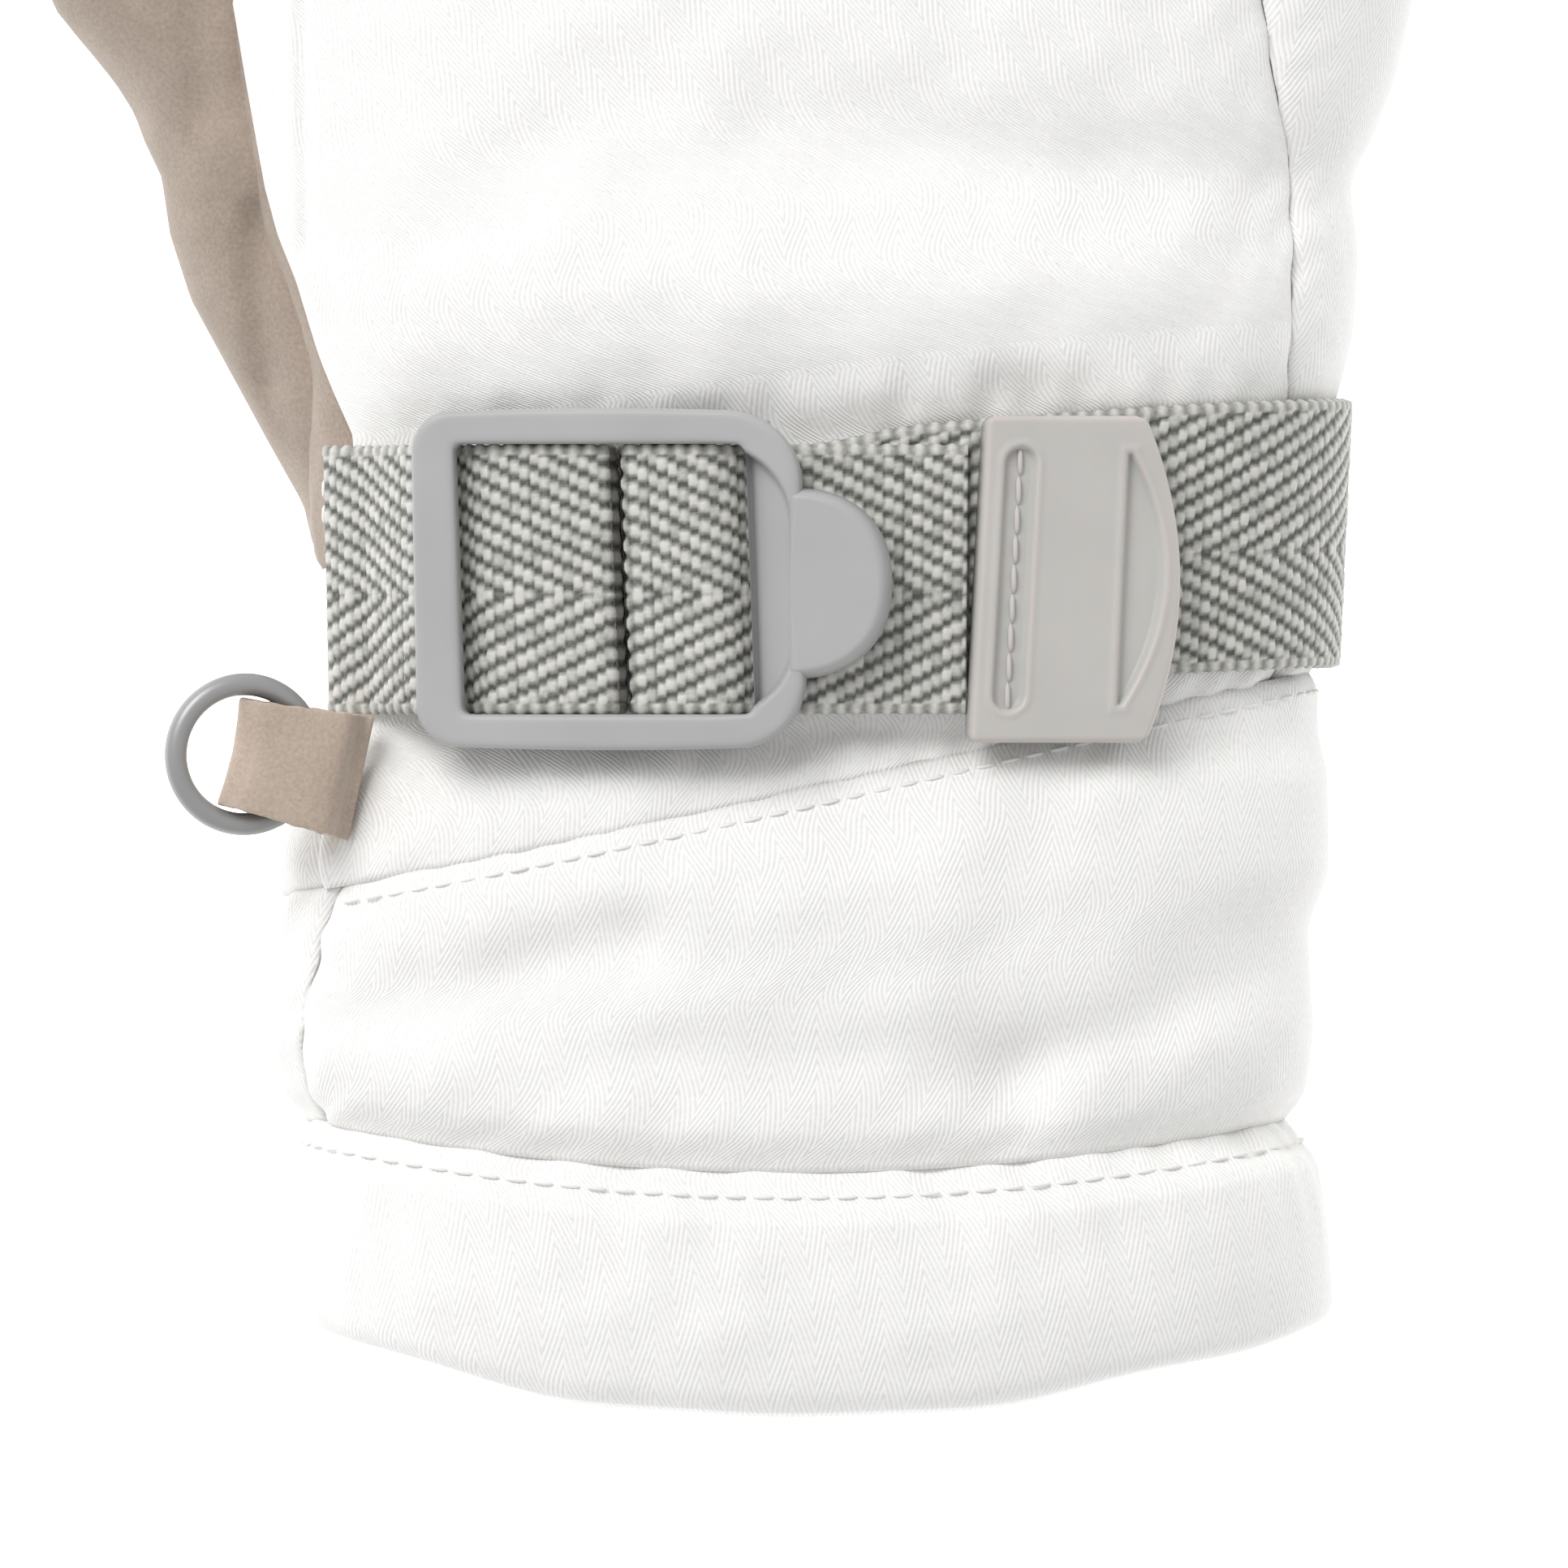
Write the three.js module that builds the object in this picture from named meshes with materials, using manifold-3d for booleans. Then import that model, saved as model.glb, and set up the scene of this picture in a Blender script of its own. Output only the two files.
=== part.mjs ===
// A padded ski glove for the right hand, in millimetres. It lies palm down on z = 0 with its back up,
// its fingers towards +Y and its thumb towards -X. The origin is under the middle of the wrist strap.
import * as THREE from 'three';
import { mergeVertices } from 'three/addons/utils/BufferGeometryUtils.js';
import Module from 'manifold-3d';

const wasm = await Module();
wasm.setup();

// Hand and cuff
const wristWidth = 93.6;       // across the glove under the strap
const wristHeight = 41;        // floor to back under the strap
const cuffLength = 71.5;       // middle of the strap to the hem, at the sides
const hemDip = 8.5;            // how much further the hem runs at the middle
const hemBandWidth = 19.2;     // hem seam to hem edge
const handLength = 97;         // middle of the strap to the finger roots
const littleSideDrop = 9;      // how much nearer the roots lie at the little finger
const shellWall = 3.2;         // face cloth, wadding and lining of the hand and cuff
const pressedFlat = 4;         // how far the round underside is pressed flat by its own weight
const shellRoundness = 2.6;    // 2 is an ellipse, more is squarer
const axisShare = 0.45;        // height of the widest line, as a share of the height
const clearance = 0.3;         // gap between neighbouring pieces

// Seams between the panels
const seamMiddle = -20.4;      // slanting seam under the strap, where it crosses the middle
const seamRise = 0.2145;       // its rise for each millimetre towards the little finger side
const thumbSideSeam = 168;     // degrees round from the little finger side, over the back
const sideSeamAtWrist = 27;    // the upright seam on the little finger side, at the strap
const sideSeamAtHand = 44;     // the same seam at the finger roots
const palmSeam = -38;          // where the side panel meets the palm
const gussetTop = 150;         // edge of the cuff gusset on the back, at the slanting seam
const gussetHem = 164;         // the same edge at the hem seam
const gussetUnder = 216;       // edge of the gusset on the underside

// Fingers and thumb
const longestFinger = 86;      // root to tip of the middle finger
const fingerHeight = 28;       // floor to back of a finger
const fingerTipHeight = 23;    // the same near the tip
const fingerWall = 2.6;        // padded wall of a finger
const fingerArch = 4;          // how far a resting finger arches off the floor
const fingerTipRound = 13;     // length of the rounded tip
const thumbRootWidth = 31;     // thumb across its root
const thumbWidth = 27;         // thumb across its middle
const thumbHeight = 26;        // floor to back of the thumb
const thumbAcross = 60;        // root of the thumb to its tip, across the glove
const thumbAlong = 96;         // the same, along the glove
const thumbRootX = -30;        // middle of the thumb's root, inside the wrist
const thumbRootY = 2;

// Strap and buckle
const webbingWidth = 25;
const webbingThickness = 1.3;
const clothGap = 0.6;          // webbing above the round face of the glove
const strapMiddle = -1.8;      // middle line of the left strap and the tail, along the glove
const strapRise = 4.6;         // how much higher the right strap ends at the little finger side
const leftStrapEnd = 157;      // degrees round, where the left strap is sewn in
const rightStrapEnd = -24;     // degrees round, where the right strap is sewn in
const buckleX = -20.7;         // middle of the buckle
const buckleWidth = 36;        // along the strap
const buckleHeight = 31;       // across the strap
const buckleFrame = 3.4;       // thickness of the frame plate
const openingLeft = -13.8;     // edges of the buckle's opening, from its middle
const openingRight = 13.5;
const openingMargin = 0.5;     // opening beyond each edge of the webbing
const barThickness = 2;
const firstBarLeft = -9.5;     // edges of the two cross bars, from the middle of the buckle
const firstBarRight = -1.2;
const secondBarLeft = 3.4;
const secondBarRight = 9.6;
const foldBack = 1.5;          // strap folded back under itself, past the buckle's left edge
const tabReach = 8.7;          // thumb tab beyond the frame
const tabHeight = 17;          // thumb tab across the strap
const tabThickness = 2.2;
const tabRaise = 0.7;          // middle of the thumb tab above the middle of the buckle
const endTabX = 21.9;          // middle of the strap end tab
const endTabLength = 19.2;
const endTabWidth = 30.5;
const endTabThickness = 3.2;

// Hanging ring
const ringOuter = 15.2;        // outer diameter
const ringWire = 2.1;
const ringFromSeam = 11.3;     // middle of the ring, out from the loop's seam
const loopSeamX = -44.5;       // where the loop is sewn into the side seam
const loopSeamY = -20.4;
const loopReach = 12.9;        // seam to fold
const loopSeamWidth = 11.8;
const loopFoldWidth = 8.2;
const loopThickness = 1.4;
const loopSewnGap = 0.3;       // between the two layers at the seam
const loopDroop = 14;          // degrees below level
const loopTurn = 12;           // degrees towards the fingers

// Outline and height of the hand and cuff. along is a share of cuffLength below the strap and of
// handLength above it; left and right are shares of wristWidth, tall is a share of wristHeight.
const sections = [
  { along: -1.0, left: -0.543, right: 0.502, tall: 1.08 },
  { along: -0.895, left: -0.538, right: 0.497, tall: 1.12 },
  { along: -0.797, left: -0.54, right: 0.487, tall: 1.11 },
  { along: -0.734, left: -0.546, right: 0.466, tall: 1.06 },
  { along: -0.685, left: -0.562, right: 0.4765, tall: 1.1 },
  { along: -0.615, left: -0.574, right: 0.481, tall: 1.13 },
  { along: -0.49, left: -0.569, right: 0.4765, tall: 1.11 },
  { along: -0.392, left: -0.565, right: 0.497, tall: 1.1 },
  { along: -0.29, left: -0.545, right: 0.496, tall: 1.07 },
  { along: -0.22, left: -0.52, right: 0.488, tall: 1.0 },
  { along: 0.178, left: -0.515, right: 0.503, tall: 1.0 },
  { along: 0.215, left: -0.527, right: 0.515, tall: 1.06 },
  { along: 0.255, left: -0.537, right: 0.522, tall: 1.09 },
  { along: 0.33, left: -0.5555, right: 0.526, tall: 1.07 },
  { along: 0.398, left: -0.573, right: 0.52, tall: 1.04 },
  { along: 0.464, left: -0.5876, right: 0.545, tall: 1.03 },
  { along: 0.536, left: -0.609, right: 0.568, tall: 1.02 },
  { along: 0.68, left: -0.614, right: 0.591, tall: 0.98 },
  { along: 0.825, left: -0.588, right: 0.59, tall: 0.93 },
  { along: 1.0, left: -0.545, right: 0.556, tall: 0.84 },
];

// Soft folds across the back of the cuff. Places are shares of wristWidth and cuffLength.
const folds = [
  { fromX: -0.46, fromY: -0.59, toX: -0.2, toY: -0.5, depth: 0.026, spread: 0.05 },
  { fromX: -0.3, fromY: -0.65, toX: 0.18, toY: -0.67, depth: 0.022, spread: 0.055 },
  { fromX: 0.18, fromY: -0.67, toX: 0.47, toY: -0.51, depth: 0.024, spread: 0.05 },
  { fromX: -0.05, fromY: 0.42, toX: 0.3, toY: 0.36, depth: 0.018, spread: 0.06 },
];

// Each finger takes a share of the width at the finger roots and reaches a share of the longest one.
const fingers = [
  { name: 'index_finger', from: 0.0, to: 0.255, width: 0.245, reach: 0.89, splay: -5 },
  { name: 'middle_finger', from: 0.255, to: 0.51, width: 0.245, reach: 1.0, splay: -1 },
  { name: 'ring_finger', from: 0.51, to: 0.76, width: 0.24, reach: 0.93, splay: 3 },
  { name: 'little_finger', from: 0.76, to: 1.0, width: 0.23, reach: 0.73, splay: 8 },
];

const whiteFabric = new THREE.MeshStandardMaterial({ color: 0xf2f1ee, roughness: 0.85, metalness: 0 });
const suede = new THREE.MeshStandardMaterial({ color: 0xb4a698, roughness: 0.95, metalness: 0 });
const webbing = new THREE.MeshStandardMaterial({ color: 0xbebdb7, roughness: 0.8, metalness: 0 });
const bucklePlastic = new THREE.MeshStandardMaterial({ color: 0xa3a3a3, roughness: 0.5, metalness: 0 });
const tabRubber = new THREE.MeshStandardMaterial({ color: 0xc6c3c0, roughness: 0.45, metalness: 0 });
const ringPaint = new THREE.MeshStandardMaterial({ color: 0xa8a8a8, roughness: 0.4, metalness: 0.6 });

const glove = new THREE.Group();
const radians = THREE.MathUtils.degToRad;
const mix = THREE.MathUtils.lerp;

// One column of the sections table at a place along the glove, smooth and without overshoot.
function readSections(column, along) {
  const last = sections.length - 2;
  const above = sections.findIndex((row) => row.along > along);
  const i = above < 0 ? last : THREE.MathUtils.clamp(above - 1, 0, last);
  const slope = (k) => (sections[k + 1][column] - sections[k][column]) / (sections[k + 1].along - sections[k].along);
  const tangent = (k) => {
    if (k === 0) return slope(0);
    if (k > last) return slope(last);
    const before = slope(k - 1);
    const after = slope(k);
    return before * after <= 0 ? 0 : (2 * before * after) / (before + after);
  };
  const step = sections[i + 1].along - sections[i].along;
  const u = (along - sections[i].along) / step;
  const rest = 1 - u;
  const start = sections[i][column] * (1 + 2 * u) * rest * rest + tangent(i) * step * u * rest * rest;
  const end = sections[i + 1][column] * (3 - 2 * u) * u * u - tangent(i + 1) * step * rest * u * u;
  return start + end;
}

// The round outline at one place along the glove: its middle, half width, height and widest line.
function sectionAt(v) {
  const along = v / (v < 0 ? cuffLength : handLength);
  const left = readSections('left', along) * wristWidth;
  const right = readSections('right', along) * wristWidth;
  const tall = readSections('tall', along) * wristHeight;
  return { middle: (left + right) / 2, half: (right - left) / 2, tall, axis: tall * axisShare };
}

// A point of a superellipse of unit size, as shares across and up.
function superellipse(degrees, power) {
  const c = Math.round(Math.cos(radians(degrees)) * 1e9) / 1e9;
  const s = Math.round(Math.sin(radians(degrees)) * 1e9) / 1e9;
  return [Math.sign(c) * Math.abs(c) ** (2 / power), Math.sign(s) * Math.abs(s) ** (2 / power)];
}

function foldDepth(x, y) {
  let depth = 0;
  for (const fold of folds) {
    const from = new THREE.Vector2(fold.fromX * wristWidth, fold.fromY * cuffLength);
    const line = new THREE.Vector2(fold.toX * wristWidth, fold.toY * cuffLength).sub(from);
    const point = new THREE.Vector2(x, y).sub(from);
    const share = THREE.MathUtils.clamp(point.dot(line) / line.lengthSq(), 0, 1);
    const away = point.sub(line.multiplyScalar(share)).length() / (fold.spread * wristWidth);
    depth += fold.depth * wristWidth * Math.exp(-away * away);
  }
  return depth;
}

// How the straight stations bend: the hem dips at the middle, and the finger roots lie nearer to the
// strap at the little finger side.
const strapZone = 0.22 * cuffLength;
function bentAlong(v, xShare) {
  if (v < 0) {
    const past = Math.max(0, (-v - strapZone) / (cuffLength - strapZone));
    return v - hemDip * past ** 1.4 * (1 - xShare * xShare);
  }
  return v * (1 - (littleSideDrop / handLength) * Math.max(0, xShare) ** 1.6);
}

// A point of the hand and cuff, degrees round from the little finger side over the back, v along the
// glove, and inset below the outer face.
function shellPoint(degrees, v, inset = 0) {
  const section = sectionAt(v);
  const [across, up] = superellipse(degrees, shellRoundness);
  const x = section.middle + (section.half - inset) * across;
  const y = bentAlong(v, across);
  if (up >= 0) {
    const fold = foldDepth(x, y) * up;
    return new THREE.Vector3(x, y, section.axis + (section.tall - section.axis - inset) * up - fold);
  }
  const low = section.axis + (section.axis + pressedFlat - inset) * up;
  return new THREE.Vector3(x, y, Math.max(inset, low));
}

// Height of the outer back face over a point of the floor.
function backHeight(x, v) {
  const section = sectionAt(v);
  const across = THREE.MathUtils.clamp((x - section.middle) / section.half, -1, 1);
  const up = (1 - Math.abs(across) ** shellRoundness) ** (1 / shellRoundness);
  return section.axis + (section.tall - section.axis) * up;
}

const triangles = [];
function triangle(a, b, c) {
  triangles.push(a, b, c);
}
function quad(a, b, c, d) {
  triangle(a, b, c);
  triangle(a, c, d);
}

// Turns the triangles collected so far into one closed geometry with its faces pointing out.
function closedGeometry() {
  const loose = new THREE.BufferGeometry().setFromPoints(triangles.splice(0));
  const merged = mergeVertices(loose, 1e-3);
  const position = merged.getAttribute('position');
  const kept = [];
  let volume = 0;
  for (let i = 0; i < merged.index.count; i += 3) {
    const [a, b, c] = [0, 1, 2].map((k) => merged.index.getX(i + k));
    if (a === b || b === c || c === a) continue;
    kept.push(a, b, c);
    const [pa, pb, pc] = [a, b, c].map((k) => new THREE.Vector3().fromBufferAttribute(position, k));
    volume += pa.dot(pb.cross(pc));
  }
  if (volume < 0) kept.reverse();
  merged.setIndex(kept);
  return merged;
}

// A wall between two grids of points. Rows run along, and each row runs round. A ring has its last
// column on its first; a closed tip has its last row in one point.
function wallBetween(outer, inner, { ring = false, tip = false } = {}) {
  const rows = outer.length - 1;
  const columns = outer[0].length - 1;
  for (let i = 0; i < rows; i += 1) {
    for (let j = 0; j < columns; j += 1) {
      quad(outer[i][j], outer[i][j + 1], outer[i + 1][j + 1], outer[i + 1][j]);
      quad(inner[i][j], inner[i + 1][j], inner[i + 1][j + 1], inner[i][j + 1]);
    }
  }
  for (let j = 0; j < columns; j += 1) {
    quad(outer[0][j + 1], outer[0][j], inner[0][j], inner[0][j + 1]);
    if (!tip) quad(outer[rows][j], outer[rows][j + 1], inner[rows][j + 1], inner[rows][j]);
  }
  for (let i = 0; i < rows && !ring; i += 1) {
    quad(outer[i][0], outer[i + 1][0], inner[i + 1][0], inner[i][0]);
    quad(outer[i + 1][columns], outer[i][columns], inner[i][columns], inner[i + 1][columns]);
  }
  return closedGeometry();
}

// A full body inside one grid of rings, closed by a fan at each open end.
function bodyInside(rings) {
  const last = rings.length - 1;
  const middleOf = (ring) => {
    const sum = new THREE.Vector3();
    ring.slice(1).forEach((point) => sum.add(point));
    return sum.divideScalar(ring.length - 1);
  };
  const [start, end] = [middleOf(rings[0]), middleOf(rings[last])];
  for (let j = 0; j < rings[0].length - 1; j += 1) {
    triangle(start, rings[0][j + 1], rings[0][j]);
    for (let i = 0; i < last; i += 1) quad(rings[i][j], rings[i][j + 1], rings[i + 1][j + 1], rings[i + 1][j]);
    triangle(end, rings[last][j], rings[last][j + 1]);
  }
  return closedGeometry();
}

function grid(rows, columns, pointAt) {
  return Array.from({ length: rows + 1 }, (_, i) =>
    Array.from({ length: columns + 1 }, (__, j) => pointAt(i / rows, j / columns)));
}

// Spaces the rings of a finger closer together towards its round tip.
function closerAtTip(share) {
  return Math.sin((share * Math.PI) / 2);
}

function toSolid(geometry) {
  const plain = geometry.clone();
  plain.deleteAttribute('normal');
  plain.deleteAttribute('uv');
  const merged = mergeVertices(plain, 1e-4);
  const triVerts = new Uint32Array(merged.index.array);
  const vertProperties = new Float32Array(merged.getAttribute('position').array);
  return new wasm.Manifold(new wasm.Mesh({ numProp: 3, vertProperties, triVerts }));
}

function toGeometry(solid) {
  const mesh = solid.getMesh();
  const geometry = new THREE.BufferGeometry();
  geometry.setAttribute('position', new THREE.BufferAttribute(mesh.vertProperties, 3));
  geometry.setIndex(new THREE.BufferAttribute(mesh.triVerts, 1));
  return geometry;
}

function addPiece(name, geometry, material, parent = glove) {
  const mesh = new THREE.Mesh(geometry, material);
  mesh.name = name;
  parent.add(mesh);
}

// Degrees round that move a point of the shell by half the gap between two panels.
function halfGap(degrees, v) {
  const probe = 0.5;
  const moved = shellPoint(degrees + probe, v).distanceTo(shellPoint(degrees - probe, v));
  return (clearance * probe) / moved;
}

function slantSeam(degrees) {
  const section = sectionAt(seamMiddle);
  const [across] = superellipse(degrees, shellRoundness);
  return seamMiddle + seamRise * (section.middle + section.half * across);
}

// A panel of the shell between two edges round (from, to) and two edges along (start, end). Each edge
// is a function of the place on the other one.
function panel(from, to, start, end, columns, rows) {
  const place = (i, j) => {
    const rough = mix(from(i), to(i), j);
    const v = mix(start(rough) + clearance / 2, end(rough) - clearance / 2, i);
    const low = from(i) + halfGap(from(i), v);
    const high = to(i) - halfGap(to(i), v);
    return [mix(low, high, j), v];
  };
  const outer = grid(rows, columns, (i, j) => shellPoint(...place(i, j)));
  const inner = grid(rows, columns, (i, j) => shellPoint(...place(i, j), shellWall));
  return wallBetween(outer, inner);
}

// Hand and cuff panels
const hemSeam = -cuffLength + hemBandWidth;
const sideSeam = (i) => mix(sideSeamAtWrist, sideSeamAtHand, i);
const gussetEdge = (i) => mix(gussetHem, gussetTop, i);
const atHandEnd = () => handLength + clearance / 2;
const atHemSeam = () => hemSeam;

function thumbPoint(degrees, s, inset) {
  const start = new THREE.Vector2(thumbRootX, thumbRootY);
  const bend = new THREE.Vector2(thumbRootX - 0.37 * thumbAcross, thumbRootY + 0.4 * thumbAlong);
  const end = new THREE.Vector2(thumbRootX - thumbAcross, thumbRootY + thumbAlong);
  const path = new THREE.QuadraticBezierCurve(start, bend, end);
  const reach = path.getLength();
  const along = s * (1 - Math.max(0, inset) / reach);
  const middle = path.getPoint(along);
  const direction = path.getTangent(along);
  const fromTip = THREE.MathUtils.clamp((reach * (1 - s)) / fingerTipRound, 0, 1);
  const shrink = Math.sqrt(1 - (1 - fromTip) ** 2);
  const half = (mix(thumbRootWidth, thumbWidth, Math.min(1, 2 * s)) / 2 - inset) * shrink;
  const [across, up] = superellipse(degrees, 2.3);
  const axis = thumbHeight * axisShare;
  const rise = up >= 0 ? (thumbHeight - axis - inset) * up : (axis + pressedFlat / 2 - inset) * up;
  const z = Math.max(inset, axis + rise * shrink);
  return new THREE.Vector3(middle.x + direction.y * across * half, middle.y - direction.x * across * half, z);
}

function thumbRings(inset) {
  return grid(14, 20, (i, j) => thumbPoint(360 * j, closerAtTip(i), inset));
}

function addHand() {
  const thumbBody = toSolid(bodyInside(thumbRings(-clearance)));
  const back = panel(sideSeam, () => thumbSideSeam, slantSeam, atHandEnd, 17, 22);
  const side = panel(() => palmSeam, sideSeam, slantSeam, atHandEnd, 6, 22);
  const palm = panel(() => thumbSideSeam, () => 360 + palmSeam, slantSeam, atHandEnd, 13, 22);
  addPiece('hand_back', toGeometry(toSolid(back).subtract(thumbBody)), whiteFabric);
  addPiece('outer_side_panel', side, whiteFabric);
  addPiece('hand_palm', toGeometry(toSolid(palm).subtract(thumbBody)), suede);
}

function addThumb() {
  const wall = toSolid(wallBetween(thumbRings(0), thumbRings(fingerWall), { ring: true, tip: true }));
  const hollow = grid(16, 32, (i, j) => shellPoint(360 * j, mix(hemSeam, handLength, i), shellWall));
  addPiece('thumb', toGeometry(wall.subtract(toSolid(bodyInside(hollow)))), suede);
}

function addCuff() {
  const over = panel(() => gussetUnder - 360, gussetEdge, atHemSeam, slantSeam, 34, 9);
  addPiece('gauntlet', over, whiteFabric);
  const gusset = panel(gussetEdge, () => gussetUnder, atHemSeam, slantSeam, 6, 9);
  addPiece('cuff_gusset', gusset, whiteFabric);
  const band = (inset) => grid(5, 38, (i, j) => shellPoint(360 * j, mix(-cuffLength, hemSeam - clearance / 2, i), inset));
  addPiece('hem_band', wallBetween(band(0), band(shellWall), { ring: true }), whiteFabric);
}

// A finger is square at its root, where it fills its share of the open end of the hand, and turns
// round above it. s runs from root to tip.
function fingerPoint(finger, degrees, s, inset) {
  const end = sectionAt(handLength);
  const rootShare = 0.24;
  const grown = THREE.MathUtils.smoothstep(s, 0, rootShare);
  const [across, up] = superellipse(degrees, mix(7, 2.3, grown));
  const rootLeft = end.middle - end.half + finger.from * 2 * end.half;
  const rootRight = end.middle - end.half + finger.to * 2 * end.half;
  const rootHalf = (rootRight - rootLeft - clearance) / 2;
  const reach = finger.reach * longestFinger;
  const fromTip = THREE.MathUtils.clamp((reach * (1 - s)) / fingerTipRound, 0, 1);
  const shrink = Math.sqrt(1 - (1 - fromTip) ** 2);
  const half = (mix(rootHalf, finger.width * end.half, grown) - inset) * shrink;
  const middle = (rootLeft + rootRight) / 2;
  const rootX = middle + across * (rootHalf - inset);

  const rootAcross = THREE.MathUtils.clamp((rootX - end.middle) / end.half, -1, 1);
  const rootUp = (1 - Math.abs(rootAcross) ** shellRoundness) ** (1 / shellRoundness);
  const rootTop = end.axis + (end.tall - end.axis) * rootUp;
  const rootBottom = Math.max(0, end.axis - (end.axis + pressedFlat) * rootUp);
  const lift = fingerArch * Math.sin(Math.PI * Math.min(1, s / 0.86)) * grown;
  const top = mix(rootTop, mix(fingerHeight, fingerTipHeight, s) + lift, grown) - inset;
  const bottom = mix(rootBottom, lift, grown) + inset;
  const axis = mix(end.axis, lift + fingerHeight * axisShare, grown);
  const z = up >= 0 ? axis + (top - axis) * up * shrink : axis - (axis - bottom) * -up * shrink;

  const away = s * (reach - inset);
  const rootEdge = bentAlong(handLength, rootAcross);
  const middleEdge = bentAlong(handLength, (middle - end.middle) / end.half);
  const x = middle + across * half + Math.tan(radians(finger.splay)) * away * grown;
  return new THREE.Vector3(x, mix(rootEdge, middleEdge, grown) + clearance + away, z);
}

function addFingers() {
  for (const finger of fingers) {
    const rings = (inset) => grid(10, 16, (i, j) => fingerPoint(finger, 360 * j, closerAtTip(i), inset));
    const wall = wallBetween(rings(0), rings(fingerWall), { ring: true, tip: true });
    addPiece(finger.name, wall, whiteFabric);
  }
}

// Layers of webbing between the glove and the buckle, as heights above the glove
const lowerLayer = clothGap + webbingThickness / 2;
const upperLayer = lowerLayer + webbingThickness + clearance;
const frameBottom = upperLayer + webbingThickness / 2 + clearance;
const barBottom = lowerLayer + webbingThickness / 2 + clearance;
const barTop = barBottom + barThickness;
const overBar = barTop + clearance + webbingThickness / 2;
const besideBar = clearance + webbingThickness / 2;

// The buckle lies flat on the back of the wrist, tilted with the cloth under its middle.
const buckleBase = backHeight(buckleX, 0);
const tiltProbe = 6;
const buckleTilt = Math.atan2(backHeight(buckleX + tiltProbe, 0) - backHeight(buckleX - tiltProbe, 0), 2 * tiltProbe);

function inBuckle(across, height) {
  const x = buckleX + across * Math.cos(buckleTilt) - height * Math.sin(buckleTilt);
  const z = buckleBase + across * Math.sin(buckleTilt) + height * Math.cos(buckleTilt);
  return { low: new THREE.Vector2(x, z), high: new THREE.Vector2(x, z) };
}

// A place on the glove at a height above its face, at both edges of the webbing.
function onGlove(degrees, height, shift = 0) {
  const lifted = (v) => {
    const probe = 1;
    const point = shellPoint(degrees, v);
    const along = shellPoint(degrees + probe, v).sub(shellPoint(degrees - probe, v)).normalize();
    return new THREE.Vector2(point.x + along.z * height, point.z - along.x * height);
  };
  const middle = strapMiddle + shift;
  return { low: lifted(middle - webbingWidth / 2), high: lifted(middle + webbingWidth / 2), shift };
}

// Webbing along a path of places, each with a point at the low and the high edge.
function ribbon(places) {
  const cornersOf = (edge, y, i) => {
    const point = places[i][edge];
    const before = places[Math.max(0, i - 1)][edge];
    const after = places[Math.min(places.length - 1, i + 1)][edge];
    const into = point.clone().sub(before).normalize();
    const out = after.clone().sub(point).normalize();
    const along = into.clone().add(out).normalize();
    const turn = Math.max(0.6, along.dot(i === 0 ? out : into));
    const side = new THREE.Vector2(-along.y, along.x).multiplyScalar(webbingThickness / 2 / turn);
    return [1, -1].map((face) => new THREE.Vector3(point.x + face * side.x, y, point.y + face * side.y));
  };
  const rings = places.map(({ shift = 0 }, i) => {
    const middle = strapMiddle + shift;
    const [lowTop, lowUnder] = cornersOf('low', middle - webbingWidth / 2, i);
    const [highTop, highUnder] = cornersOf('high', middle + webbingWidth / 2, i);
    return [lowTop, highTop, highUnder, lowUnder, lowTop];
  });
  return bodyInside(rings);
}

function anglesBetween(from, to, count) {
  return Array.from({ length: count }, (_, i) => mix(from, to, i / (count - 1)));
}

// Degrees round at which the back of the wrist lies over a given X.
function degreesOver(x) {
  const section = sectionAt(0);
  const share = Math.abs((x - section.middle) / section.half) ** (shellRoundness / 2);
  const degrees = THREE.MathUtils.radToDeg(Math.acos(share));
  return x < section.middle ? 180 - degrees : degrees;
}

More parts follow.
